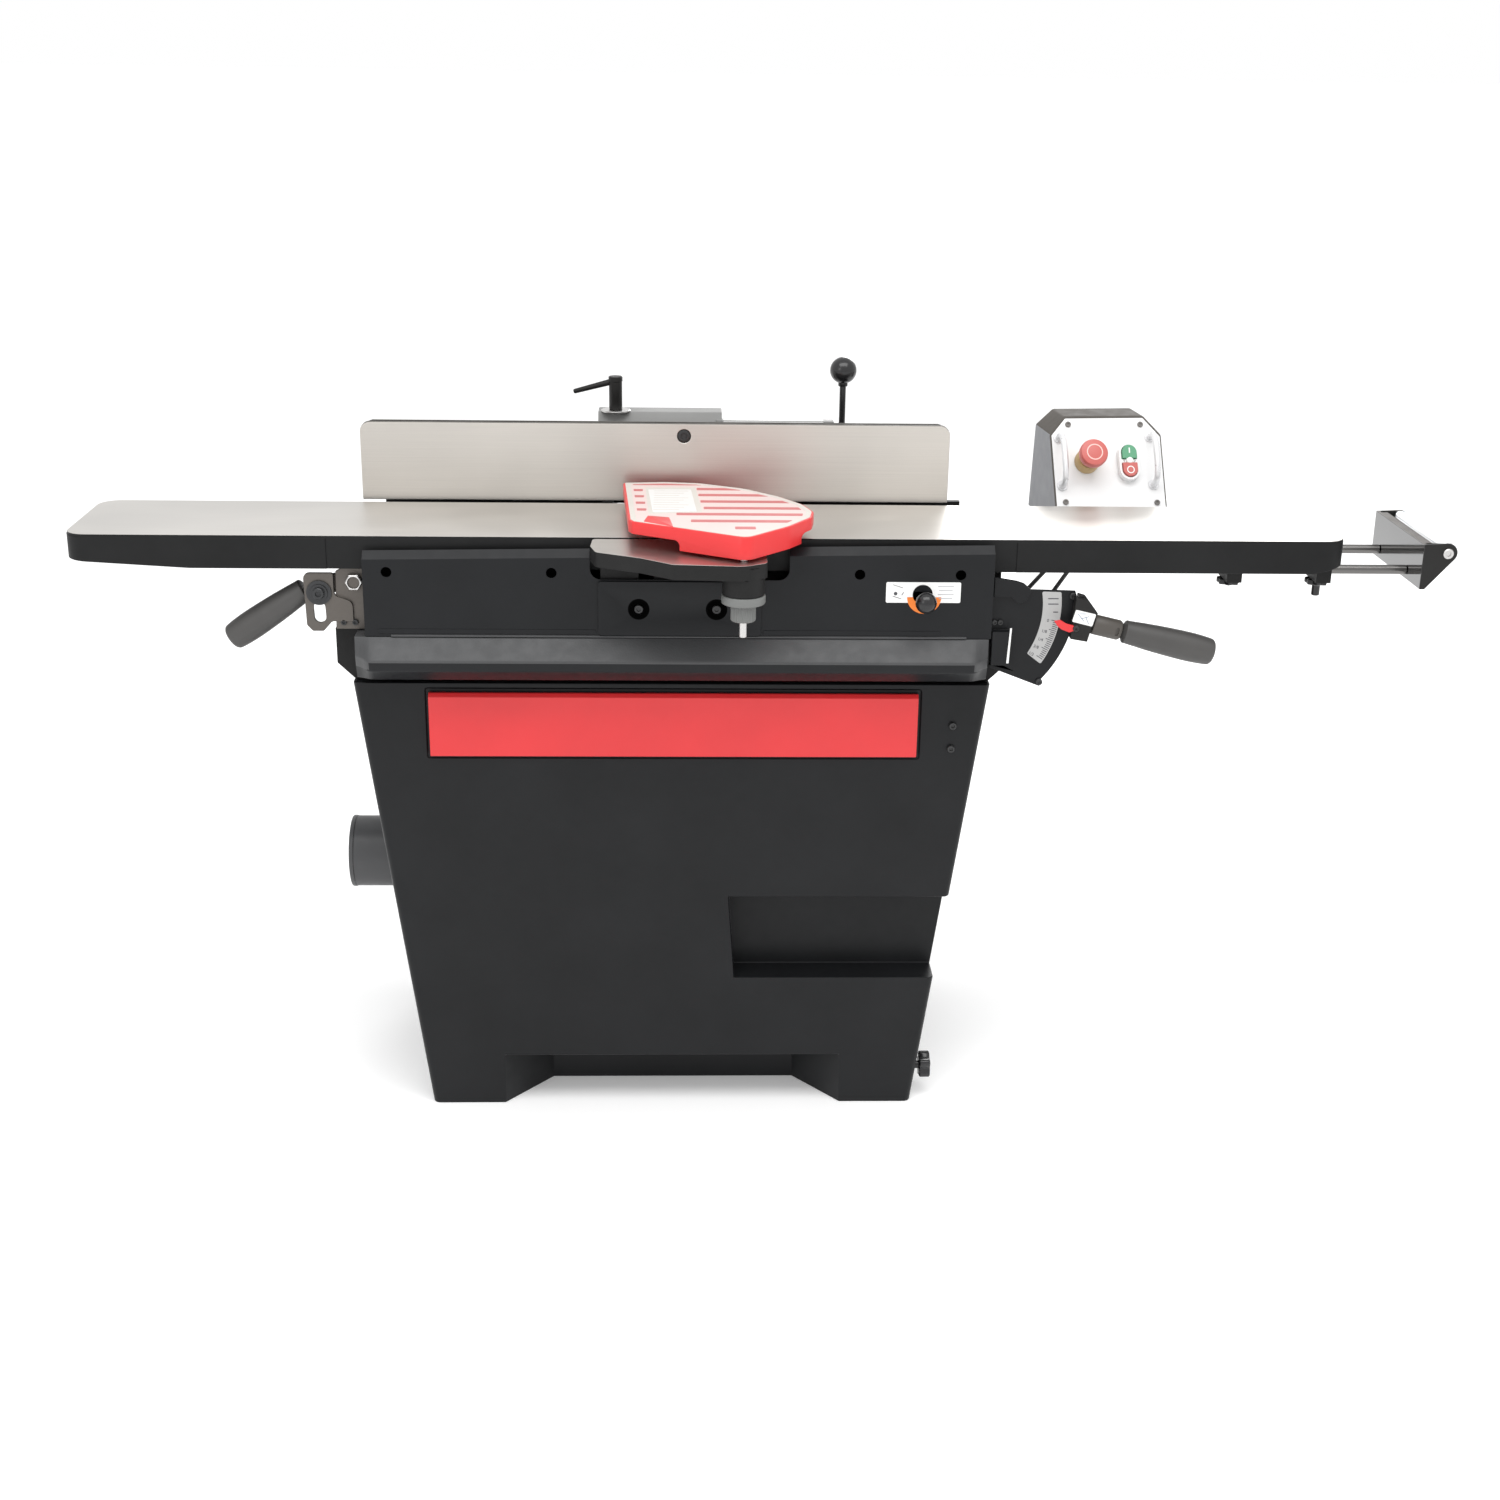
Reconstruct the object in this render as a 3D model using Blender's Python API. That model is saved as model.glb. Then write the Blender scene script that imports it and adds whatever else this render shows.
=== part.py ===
"""Six inch parallelogram jointer on a sheet metal cabinet, in metres, +Z up, operator at -Y."""

import math

import bmesh
import bpy
from mathutils import Matrix, Vector

# Datum: the model is drawn with x = 0 on the cutterhead and y = 0 on the tables' front edge.
DATUM = (-0.12121, -0.14710, 0.0)

# Tables
TABLE_TOP = 0.838
TABLE_WIDTH = 0.2000
TABLE_LEFT = -0.788
TABLE_RIGHT = 0.888
PLATE = 0.014
SKIRT_BOTTOM = 0.794
LIP = 0.020

# Cutterhead
HEAD_Z = 0.802
HEAD_R = 0.0355
LIP_CLEARANCE_R = 0.041

# Parallelogram links: length, lean from vertical, and the travel of each lever in degrees
LINK = 0.0432
INFEED_LEAN = 33.0
OUTFEED_LEAN = 60.0
INFEED_PIVOTS = ((0.368, 0.758), (0.133, 0.758))
OUTFEED_PIVOTS = ((-0.417, 0.775), (-0.157, 0.775))

# Cabinet
CABINET_HEIGHT = 0.634
CABINET_TOP_HALF = 0.4275
CABINET_FLOOR_HALF = 0.343
CABINET_FRONT = 0.0155
CABINET_REAR = 0.4245
SHEET = 0.003

# Base casting
BASE_HALF = 0.4485
BASE_FRONT = 0.030
BASE_REAR = 0.165
BASE_WALL_TOP = 0.790

# Guard
GUARD_PIVOT = (0.0885, -0.113)
GUARD_TOP = 0.8715

# Fence
FENCE_LEFT = -0.432
FENCE_RIGHT = 0.383
FENCE_FACE = 0.2125
FENCE_HINGE = (0.2270, 0.8440)

# Console: lower left front corner, turn about Z and lean of the face
CONSOLE_CORNER = (0.5472, 0.270, 0.8194)
CONSOLE_TURN = 5.1
CONSOLE_LEAN = 30.0
CONSOLE_WIDTH = 0.1665

GAP = 0.0003

for old in list(bpy.data.objects):
    bpy.data.objects.remove(old, do_unlink=True)

model = bpy.data.collections.new("jointer")
cutters = bpy.data.collections.new("cutters")
bpy.context.scene.collection.children.link(model)
bpy.context.scene.collection.children.link(cutters)


def material(name, colour, roughness, metallic):
    made = bpy.data.materials.new(name)
    made.use_nodes = True
    shader = made.node_tree.nodes["Principled BSDF"]
    shader.inputs["Base Color"].default_value = (*colour, 1.0)
    shader.inputs["Roughness"].default_value = roughness
    shader.inputs["Metallic"].default_value = metallic
    made.diffuse_color = (*colour, 1.0)
    return made


GROUND_STEEL = ((0.58, 0.55, 0.51), 0.34, 0.9)
BRIGHT_STEEL = ((0.62, 0.61, 0.59), 0.25, 1.0)
ZINC = ((0.42, 0.40, 0.37), 0.4, 0.9)
BLACK_PAINT = ((0.028, 0.030, 0.032), 0.42, 0.0)
BLACK_CAST = ((0.022, 0.022, 0.022), 0.6, 0.0)
GREY_TEXTURE = ((0.045, 0.047, 0.050), 0.6, 0.0)
RED_PAINT = ((0.82, 0.06, 0.06), 0.35, 0.0)
BLACK_PLASTIC = ((0.02, 0.02, 0.02), 0.35, 0.0)
GREY_PLASTIC = ((0.20, 0.20, 0.20), 0.5, 0.0)
GRIP = ((0.07, 0.07, 0.068), 0.6, 0.0)
RUBBER = ((0.015, 0.015, 0.015), 0.8, 0.0)
WHITE_PAINT = ((0.85, 0.85, 0.83), 0.4, 0.0)
YELLOW_PLASTIC = ((0.75, 0.50, 0.12), 0.4, 0.0)
GREEN_PLASTIC = ((0.10, 0.42, 0.22), 0.35, 0.0)
RED_PLASTIC = ((0.80, 0.10, 0.09), 0.3, 0.0)
SILVER = ((0.70, 0.70, 0.70), 0.3, 1.0)

# ---------------------------------------------------------------- bodies


class Body:
    """An empty on a joint's axis. Its pieces are drawn in the machine's coordinates."""

    def __init__(self, name, pivot, parent):
        self.pivot = Vector(pivot)
        self.empty = bpy.data.objects.new("axis_" + name, None)
        self.empty.empty_display_size = 0.03
        model.objects.link(self.empty)
        if parent is None:
            self.empty.location = DATUM
        else:
            self.empty.parent = parent.empty
            self.empty.location = self.pivot - parent.pivot


def link_end(pivot, lean):
    """Upper pivot of a link that leans from vertical, towards +X when positive."""
    return pivot[0] + LINK * math.sin(math.radians(lean)), pivot[1] + LINK * math.cos(math.radians(lean))


machine = Body("machine", (0.0, 0.0, 0.0), None)
infeed_link = Body("infeed_link", (INFEED_PIVOTS[0][0], 0.095, INFEED_PIVOTS[0][1]), machine)
infeed_second = Body("infeed_second_link", (INFEED_PIVOTS[1][0], 0.095, INFEED_PIVOTS[1][1]), machine)
infeed_pin = link_end(INFEED_PIVOTS[0], INFEED_LEAN)
infeed = Body("infeed_table", (infeed_pin[0], 0.095, infeed_pin[1]), infeed_link)
outfeed_link = Body("outfeed_link", (OUTFEED_PIVOTS[0][0], 0.095, OUTFEED_PIVOTS[0][1]), machine)
outfeed_second = Body("outfeed_second_link", (OUTFEED_PIVOTS[1][0], 0.095, OUTFEED_PIVOTS[1][1]), machine)
outfeed_pin = link_end(OUTFEED_PIVOTS[0], -OUTFEED_LEAN)
outfeed = Body("outfeed_table", (outfeed_pin[0], 0.095, outfeed_pin[1]), outfeed_link)
head = Body("cutterhead", (0.0, 0.09, HEAD_Z), machine)
motor_rotor = Body("motor_rotor", (0.0, 0.20, 0.400), machine)
guard_body = Body("guard", (*GUARD_PIVOT, 0.850), machine)
knob_body = Body("guard_knob", (*GUARD_PIVOT, 0.770), guard_body)
fence_slide = Body("fence_carriage", (0.0, 0.33, 0.900), machine)
fence_tilt = Body("fence", (0.0, *FENCE_HINGE), fence_slide)
fence_lock = Body("fence_lock", (-0.084, 0.330, 0.950), fence_slide)
tilt_lock = Body("tilt_lock", (0.241, 0.330, 0.912), fence_slide)
stop_pin = Body("depth_stop", (0.328, -0.020, 0.764), machine)
clamp_knob = Body("cabinet_knob", (0.366, 0.045, 0.0446), machine)
extension = Body("roller_extension", (0.985, 0.095, 0.789), infeed)
roller_body = Body("extension_roller", (1.0175, 0.090, 0.8255), extension)
screw_one = Body("extension_screw_1", (0.7455, 0.047, 0.770), infeed)
screw_two = Body("extension_screw_2", (0.8652, 0.047, 0.770), infeed)

CONSOLE = Matrix.Translation(CONSOLE_CORNER) @ Matrix.Rotation(math.radians(CONSOLE_TURN), 4, "Z")
FACE = CONSOLE @ Matrix.Rotation(math.radians(90.0 - CONSOLE_LEAN), 4, "X")
ESTOP_AT = (0.0510, 0.0685)
SWITCH_AT = (0.1115, 0.0655)


def on_face(across, up, out):
    """A point on the console's face: across and up its slope, and out along its normal."""
    return FACE @ Vector((across, up, out))


FACE_NORMAL = (FACE.to_3x3() @ Vector((0.0, 0.0, 1.0))).normalized()
estop_body = Body("estop", on_face(*ESTOP_AT, 0.02), machine)
start_body = Body("start_button", on_face(SWITCH_AT[0], SWITCH_AT[1] + 0.014, 0.012), machine)
stop_body = Body("stop_button", on_face(SWITCH_AT[0], SWITCH_AT[1] - 0.012, 0.012), machine)

# ---------------------------------------------------------------- shapes


def finish(bm, matrix=None):
    if matrix is not None:
        bmesh.ops.transform(bm, matrix=matrix, verts=bm.verts[:])
    bmesh.ops.recalc_face_normals(bm, faces=bm.faces[:])
    return bm


def box(low, high):
    bm = bmesh.new()
    bmesh.ops.create_cube(bm, size=1.0)
    for vertex in bm.verts:
        for k in range(3):
            vertex.co[k] = low[k] if vertex.co[k] < 0 else high[k]
    return finish(bm)


def loft(first, second, matrix=None):
    """Solid between two rings of points of the same length."""
    bm = bmesh.new()
    rings = [[bm.verts.new(point) for point in ring] for ring in (first, second)]
    for ring in rings:
        bm.faces.new(ring)
    count = len(first)
    for i in range(count):
        j = (i + 1) % count
        bm.faces.new((rings[0][i], rings[0][j], rings[1][j], rings[1][i]))
    return finish(bm, matrix)


def sections(rings):
    """Solid through several rings of points, with every side split the same way."""
    bm = bmesh.new()
    rows = [[bm.verts.new(point) for point in ring] for ring in rings]
    bm.faces.new(rows[0])
    bm.faces.new(rows[-1])
    count = len(rows[0])
    for a, b in zip(rows, rows[1:]):
        for i in range(count):
            j = (i + 1) % count
            bm.faces.new((a[i], a[j], b[j]))
            bm.faces.new((a[i], b[j], b[i]))
    return finish(bm)


def prism(profile, axis, low, high, matrix=None):
    """A profile swept along an axis. The profile gives the other two coordinates in x, y, z order."""
    place = {
        "x": lambda a, b, level: (level, a, b),
        "y": lambda a, b, level: (a, level, b),
        "z": lambda a, b, level: (a, b, level),
    }[axis]
    rings = [[place(a, b, level) for a, b in profile] for level in (low, high)]
    return loft(rings[0], rings[1], matrix)


def circle(centre, radius, sides=24, start=0.0):
    return [
        (
            centre[0] + radius * math.cos(start + 2 * math.pi * i / sides),
            centre[1] + radius * math.sin(start + 2 * math.pi * i / sides),
        )
        for i in range(sides)
    ]


def arc(centre, radius, first, last, steps):
    """Points on an arc, angles in degrees."""
    return [
        (
            centre[0] + radius * math.cos(math.radians(first + (last - first) * i / steps)),
            centre[1] + radius * math.sin(math.radians(first + (last - first) * i / steps)),
        )
        for i in range(steps + 1)
    ]


def capsule(a, b, radius_a, radius_b, steps=8):
    """Outline around two circles."""
    angle = math.degrees(math.atan2(b[1] - a[1], b[0] - a[0]))
    length = math.hypot(b[0] - a[0], b[1] - a[1])
    open_by = math.degrees(math.asin((radius_a - radius_b) / length))
    return arc(a, radius_a, angle + 90 - open_by, angle + 270 + open_by, steps) + arc(
        b, radius_b, angle - 90 + open_by, angle + 90 - open_by, steps
    )


def rounded(points, radius, steps=4):
    """A polygon with its corners rounded; radius is one number or one for each corner."""
    out = []
    count = len(points)
    for i, point in enumerate(points):
        size = radius if isinstance(radius, float) else radius[i]
        here = Vector(point)
        if size <= 0:
            out.append(tuple(here))
            continue
        before = (Vector(points[i - 1]) - here).normalized()
        after = (Vector(points[(i + 1) % count]) - here).normalized()
        half = before.angle(after) / 2
        reach = size / math.tan(half)
        centre = here + (before + after).normalized() * (size / math.sin(half))
        start = here + before * reach - centre
        end = here + after * reach - centre
        first = math.atan2(start.y, start.x)
        turn = start.angle_signed(end)
        for k in range(steps + 1):
            angle = first - turn * k / steps
            out.append((centre.x + size * math.cos(angle), centre.y + size * math.sin(angle)))
    return out


def rectangle(low, high, radius=0.0, steps=4):
    corners = [(low[0], low[1]), (high[0], low[1]), (high[0], high[1]), (low[0], high[1])]
    return rounded(corners, radius, steps) if radius > 0 else corners


def lathe(profile, base, direction, sides=24, ring=False):
    """A profile of (radius, height) turned about a direction; a ring's profile closes on itself."""
    turn = Vector((0, 0, 1)).rotation_difference(Vector(direction).normalized()).to_matrix().to_4x4()
    bm = bmesh.new()
    rows = []
    for radius, height in profile:
        if radius <= 0:
            rows.append([bm.verts.new((0, 0, height))])
            continue
        rows.append([bm.verts.new((x, y, height)) for x, y in circle((0, 0), radius, sides)])
    pairs = list(zip(rows, rows[1:]))
    if ring:
        pairs.append((rows[-1], rows[0]))
    for a, b in pairs:
        for i in range(sides):
            j = (i + 1) % sides
            if len(a) == 1:
                bm.faces.new((a[0], b[i], b[j]))
            elif len(b) == 1:
                bm.faces.new((a[i], a[j], b[0]))
            else:
                bm.faces.new((a[i], a[j], b[j], b[i]))
    if not ring:
        for row in (rows[0], rows[-1]):
            if len(row) > 1:
                bm.faces.new(row)
    return finish(bm, Matrix.Translation(base) @ turn)


def rod(a, b, radius, sides=20):
    span = Vector(b) - Vector(a)
    return lathe([(radius, 0.0), (radius, span.length)], a, span, sides)


def tube_path(points, radius, sides=12):
    """A round bar bent through the points."""
    points = [Vector(p) for p in points]
    bm = bmesh.new()
    side = (points[1] - points[0]).orthogonal().normalized()
    rings = []
    for i, point in enumerate(points):
        before = (point - points[i - 1]).normalized() if i else (points[1] - point).normalized()
        after = (points[i + 1] - point).normalized() if i + 1 < len(points) else before
        along = (before + after).normalized()
        side = (side - along * side.dot(along)).normalized()
        other = along.cross(side)
        rings.append(
            [
                bm.verts.new(point + side * (radius * math.cos(t)) + other * (radius * math.sin(t)))
                for t in [2 * math.pi * k / sides for k in range(sides)]
            ]
        )
    for a, b in zip(rings, rings[1:]):
        for i in range(sides):
            j = (i + 1) % sides
            bm.faces.new((a[i], a[j], b[j], b[i]))
    bm.faces.new(rings[0])
    bm.faces.new(rings[-1])
    return finish(bm)


# ---------------------------------------------------------------- objects


def part(name, shape, look, body=machine):
    mesh = bpy.data.meshes.new(name)
    shape.to_mesh(mesh)
    shape.free()
    obj = bpy.data.objects.new(name, mesh)
    mesh.materials.append(material(name, *look))
    obj.parent = body.empty
    obj.location = -body.pivot
    obj["body_pivot"] = tuple(body.pivot)
    model.objects.link(obj)
    return obj


def boolean(obj, shape, operation):
    """Cuts a shape from an object, or joins it on."""
    name = f"{obj.name}_{operation.lower()}_{len(obj.modifiers)}"
    mesh = bpy.data.meshes.new(name)
    shape.to_mesh(mesh)
    shape.free()
    tool = bpy.data.objects.new(name, mesh)
    tool.parent = obj.parent
    tool.location = obj.location
    tool.hide_render = True
    tool.display_type = "WIRE"
    cutters.objects.link(tool)
    step = obj.modifiers.new(name, "BOOLEAN")
    step.operation = operation
    step.solver = "EXACT"
    step.object = tool
    return tool


def cut(obj, *shapes):
    for shape in shapes:
        boolean(obj, shape, "DIFFERENCE")


def join(obj, *shapes):
    for shape in shapes:
        boolean(obj, shape, "UNION")


# ---------------------------------------------------------------- cabinet


def cabinet_outline(inset, low, high):
    """The cabinet's front view, drawn in by the inset on its sloping sides."""
    slope = (CABINET_TOP_HALF - CABINET_FLOOR_HALF) / CABINET_HEIGHT
    half = [CABINET_FLOOR_HALF + slope * z - inset for z in (low, high)]
    return [(-half[0], low), (half[0], low), (half[1], high), (-half[1], high)]


POCKET_TOP = 0.3225
POCKET_SHELF = 0.198
POCKET_DEPTH = 0.050
TOE_TOP = 0.0764
TOE_PLAN = ((-0.253, 0.0), (0.253, 0.0), (0.175, 0.0925), (-0.175, 0.0925))

cabinet = part(
    "cabinet", prism(cabinet_outline(0.0, 0.0, CABINET_HEIGHT), "y", CABINET_FRONT, CABINET_REAR), BLACK_PAINT
)
hollow = boolean(
    cabinet,
    prism(
        cabinet_outline(SHEET, SHEET, CABINET_HEIGHT - SHEET),
        "y",
        CABINET_FRONT + SHEET,
        CABINET_REAR - SHEET,
    ),
    "DIFFERENCE",
)
pocket_left = ((0.086, POCKET_SHELF), (0.0766, POCKET_TOP))
for grow, target in ((SHEET, hollow), (0.0, cabinet)):
    pocket = prism(
        [
            (pocket_left[0][0] - grow, POCKET_SHELF - grow),
            (0.5, POCKET_SHELF - grow),
            (0.5, POCKET_TOP + grow),
            (pocket_left[1][0] - grow, POCKET_TOP + grow),
        ],
        "y",
        0.0,
        CABINET_FRONT + POCKET_DEPTH + grow,
    )
    cut(target, pocket)
    toe = prism(
        [(x + math.copysign(grow, x), y + (grow if y > 0 else 0.0)) for x, y in TOE_PLAN],
        "z",
        -0.01,
        TOE_TOP + grow,
    )
    cut(target, toe)
cut(cabinet, box((-0.130, 0.044, 0.600), (0.130, 0.270, 0.700)))
cut(cabinet, box((-0.200, 0.410, 0.110), (0.200, 0.440, 0.550)))
cut(cabinet, rod((-0.45, 0.220, 0.308), (-0.30, 0.220, 0.308), 0.0475, 32))

rear_panel = part(
    "cabinet_rear_panel",
    prism(
        rectangle((-0.215, 0.095), (0.215, 0.565), 0.012, 2), "y", CABINET_REAR + GAP, CABINET_REAR + 0.0025
    ),
    BLACK_PAINT,
)
for i in range(6):
    cut(rear_panel, prism(rectangle((-0.09, 0.42 + 0.016 * i), (0.09, 0.426 + 0.016 * i)), "y", 0.40, 0.45))

part(
    "accent_panel",
    prism(
        [(0.0152, 0.532), (0.0065, 0.553), (0.0065, 0.617), (0.0110, 0.622), (0.0152, 0.622)],
        "x",
        -0.327,
        0.330,
    ),
    RED_PAINT,
)

PORT_AT = (0.220, 0.308)
port = part(
    "dust_port",
    lathe(
        [(0.0500, 0.0), (0.0525, 0.0), (0.0525, 0.090), (0.0500, 0.090)],
        (-0.3826, *PORT_AT),
        (-1, 0, 0),
        32,
        True,
    ),
    BLACK_PLASTIC,
)
slope_tilt = math.atan((CABINET_TOP_HALF - CABINET_FLOOR_HALF) / CABINET_HEIGHT)
flange_at = Matrix.Translation((-0.3845 - 0.0004, *PORT_AT)) @ Matrix.Rotation(-slope_tilt, 4, "Y")
flange = prism(
    rectangle((-0.070, -0.070), (0.070, 0.070), 0.010, 3), "x", -0.0045, -0.0001, flange_at
)
join(port, flange)
cut(port, rod((-0.30, *PORT_AT), (-0.50, *PORT_AT), 0.0499, 32))
inner_side = prism(
    [(-0.3845, 0.308), (-0.3845 - 0.09 * math.tan(slope_tilt), 0.398), (-0.30, 0.398), (-0.30, 0.218)]
    + [(-0.3845 + 0.09 * math.tan(slope_tilt), 0.218)],
    "y",
    0.10,
    0.34,
)
cut(port, inner_side)

CHUTE_WALL = 0.002


def chute_rings(inset, past):
    """Sections of the chip chute: under the head, below the base, and at the dust port."""
    half = 0.047 - inset
    near, far = 0.048 + inset, 0.152 - inset
    rings = [
        [(-half, near, z), (half, near, z), (half, far, z), (-half, far, z)] for z in (0.710 + past, 0.600)
    ]
    half = 0.046 - inset
    x = -0.345 - past
    centre_y, centre_z = PORT_AT
    rings.append(
        [
            (x, centre_y - half, centre_z + half),
            (x, centre_y - half, centre_z - half),
            (x, centre_y + half, centre_z - half),
            (x, centre_y + half, centre_z + half),
        ]
    )
    return rings


chute = part("chip_chute", sections(chute_rings(0.0, 0.0)), BLACK_PAINT)
cut(chute, sections(chute_rings(CHUTE_WALL, 0.004)))

# ---------------------------------------------------------------- base casting

base = part(
    "base_casting",
    prism(
        [(-0.425, 0.6343), (0.425, 0.6343), (BASE_HALF, 0.657), (BASE_HALF, 0.706), (0.436, 0.706)]
        + [(0.436, BASE_WALL_TOP), (-0.436, BASE_WALL_TOP), (-0.436, 0.706), (-BASE_HALF, 0.706)]
        + [(-BASE_HALF, 0.657)],
        "y",
        BASE_FRONT,
        BASE_REAR,
    ),
    BLACK_CAST,
)
join(base, box((-0.066, BASE_FRONT, 0.6343), (0.066, 0.200, 0.765)))
join(base, box((-0.100, -0.016, 0.712), (0.115, 0.045, 0.765)))
for low, high in ((-0.424, -0.072), (0.1165, 0.424)):
    cut(base, box((low, 0.042, 0.660), (high, 0.153, 0.85)))
cut(base, box((-0.13, -0.03, 0.7650), (0.121, 0.25, 0.85)))
cut(base, box((-0.47, 0.0, 0.7200), (-0.40, 0.153, 0.85)))
cut(base, box((0.40, 0.042, 0.7200), (0.47, 0.153, 0.85)))
cut(base, box((-0.052, 0.043, 0.60), (0.052, 0.157, 0.80)))
for x, z in INFEED_PIVOTS + OUTFEED_PIVOTS:
    cut(base, rod((x, 0.0, z), (x, 0.30, z), 0.0086))

BEZEL = [(0.0297, 0.647), (-0.0220, 0.650), (-0.0430, 0.668), (-0.0465, 0.6825), (-0.0205, 0.708), (0.0297, 0.708)]
BEZEL_ENDS = ((-0.4160, -0.0205), (-0.3954, -0.0465), (0.3954, -0.0465), (0.4160, -0.0205))
part(
    "base_bezel",
    sections([[(x, max(y, reach), z) for y, z in BEZEL] for x, reach in BEZEL_ENDS]),
    GREY_TEXTURE,
)

COVER_FACE = -0.020
COVER_FOLDS = ((-0.402, 0.8115), (0.4190, 0.8230))


def cover_ring(x, fold):
    """The front cover's section, with its top folded back above the given height."""
    outline = [(0.0290, 0.7085), (COVER_FACE, 0.7085), (COVER_FACE, fold), (-0.009, fold + 0.0102)]
    outline += [(-0.0076, fold + 0.0088), (-0.018, fold - 0.0009), (-0.018, 0.7105), (0.0290, 0.7105)]
    return [(x, y, z) for y, z in outline]


cover = part("front_cover", sections([cover_ring(*end) for end in COVER_FOLDS]), BLACK_PAINT)
cut(cover, prism(rectangle((-0.108, 0.787), (0.151, 0.860), 0.012), "y", -0.03, 0.01))
cut(cover, box((0.360, -0.0178, 0.70), (0.43, 0.04, 0.7108)))
for x in (-0.371, -0.158, 0.243, 0.375):
    cut(cover, rod((x, -0.03, 0.795), (x, -0.012, 0.795), 0.007, 16))
cut(cover, prism(capsule((0.322, 0.764), (0.334, 0.764), 0.0082, 0.0082, 6), "y", -0.03, 0.0))

centre_plate = part(
    "centre_plate",
    prism(rectangle((-0.098, 0.712), (0.115, 0.785), 0.004, 2), "y", -0.0235, -0.0203),
    BLACK_PAINT,
)
for x in (-0.045, 0.0565):
    cut(centre_plate, lathe([(0.014, 0.0), (0.010, 0.0016)], (x, -0.0240, 0.748), (0, 1, 0), 20))
    join(centre_plate, lathe([(0.0055, 0.0), (0.0055, 0.003)], (x, -0.0238, 0.748), (0, 1, 0), 12))

# ---------------------------------------------------------------- cutterhead and drive

cutterhead = part(
    "cutterhead",
    lathe(
        [(0.0120, 0.0), (0.0120, 0.0255), (0.0342, 0.0255), (0.0342, 0.1805), (0.0120, 0.1805)]
        + [(0.0120, 0.2700), (0.0, 0.2700)],
        (0.0, -0.0130, HEAD_Z),
        (0, 1, 0),
        32,
    ),
    BRIGHT_STEEL,
    head,
)
for i in range(4):
    angle = math.radians(45 + 90 * i)
    at = Matrix.Translation((0.0, 0.09, HEAD_Z)) @ Matrix.Rotation(angle, 4, "Y")
    flute = prism(
        [(-0.004, 0.0285), (0.007, 0.0285), (0.010, 0.045), (-0.004, 0.045)], "y", -0.090, 0.090, at
    )
    cut(cutterhead, flute)
for name, low, high in (("bearing_front", -0.014, 0.0095), ("bearing_rear", 0.1705, 0.1950)):
    bearing = part(name, rod((0, low, HEAD_Z), (0, high, HEAD_Z), 0.026, 24), BLACK_CAST)
    join(bearing, box((-0.025, low, 0.7653), (0.025, high, HEAD_Z)))
    cut(bearing, rod((0, -0.1, HEAD_Z), (0, 0.3, HEAD_Z), 0.0125, 32))


def pulley(name, at, radius, bore, body):
    rim = [(bore, 0.0), (radius + 0.002, 0.0), (radius + 0.002, 0.0015), (radius, 0.0020)]
    back = [(radius, 0.0190), (radius + 0.002, 0.0195), (radius + 0.002, 0.0210), (bore, 0.0210)]
    return part(name, lathe(rim + back, at, (0, 1, 0), 32, True), ((0.35, 0.35, 0.34), 0.35, 0.9), body)


MOTOR_Z = 0.400
pulley("cutterhead_pulley", (0.0, 0.2325, HEAD_Z), 0.0190, 0.0123, head)
pulley("motor_pulley", (0.0, 0.2325, MOTOR_Z), 0.0430, 0.0093, motor_rotor)
part("motor_shaft", rod((0, 0.060, MOTOR_Z), (0, 0.2560, MOTOR_Z), 0.0090), BRIGHT_STEEL, motor_rotor)
motor = part(
    "motor",
    lathe(
        [(0.0093, 0.0), (0.060, 0.0), (0.074, 0.012), (0.074, 0.158), (0.060, 0.170), (0.0093, 0.170)],
        (0.0, 0.050, MOTOR_Z),
        (0, 1, 0),
        32,
        True,
    ),
    ((0.05, 0.055, 0.06), 0.5, 0.0),
)
join(motor, box((0.060, 0.085, 0.370), (0.100, 0.175, 0.440)))
join(motor, box((-0.055, 0.080, 0.3200), (0.055, 0.190, 0.345)))
part(
    "motor_stand",
    prism(
        [(-0.085, 0.0033), (-0.060, 0.0033), (-0.056, 0.0073), (-0.056, 0.3157), (0.056, 0.3157)]
        + [(0.056, 0.0073), (0.060, 0.0033), (0.085, 0.0033), (0.085, 0.0073), (0.060, 0.0073)]
        + [(0.060, 0.3197), (-0.060, 0.3197), (-0.060, 0.0073), (-0.085, 0.0073)],
        "y",
        0.100,
        0.185,
    ),
    BLACK_PAINT,
)


def belt_outline(extra):
    low = 0.0430 + extra
    high = 0.0190 + extra
    return capsule((0.0, MOTOR_Z), (0.0, HEAD_Z), low, high, 16)


belt = part("drive_belt", prism(belt_outline(0.0040), "y", 0.2350, 0.2510), RUBBER)
cut(belt, prism(belt_outline(0.0006), "y", 0.22, 0.27))

guard_sheet = 0.0020
belt_guard = part(
    "belt_guard", prism(rectangle((-0.040, 0.6343), (0.040, 0.8340), 0.010, 3), "y", 0.2240, 0.2640), BLACK_PAINT
)
cut(
    belt_guard,
    prism(
        [(-0.0385, 0.60), (0.0385, 0.60), (0.0385, 0.8240), (0.0300, 0.8320), (-0.0300, 0.8320)]
        + [(-0.0385, 0.8240)],
        "y",
        0.2255,
        0.2620,
    ),
)
cut(belt_guard, rod((0, 0.20, HEAD_Z), (0, 0.23, HEAD_Z), 0.0145))

# ---------------------------------------------------------------- tables and links


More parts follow.
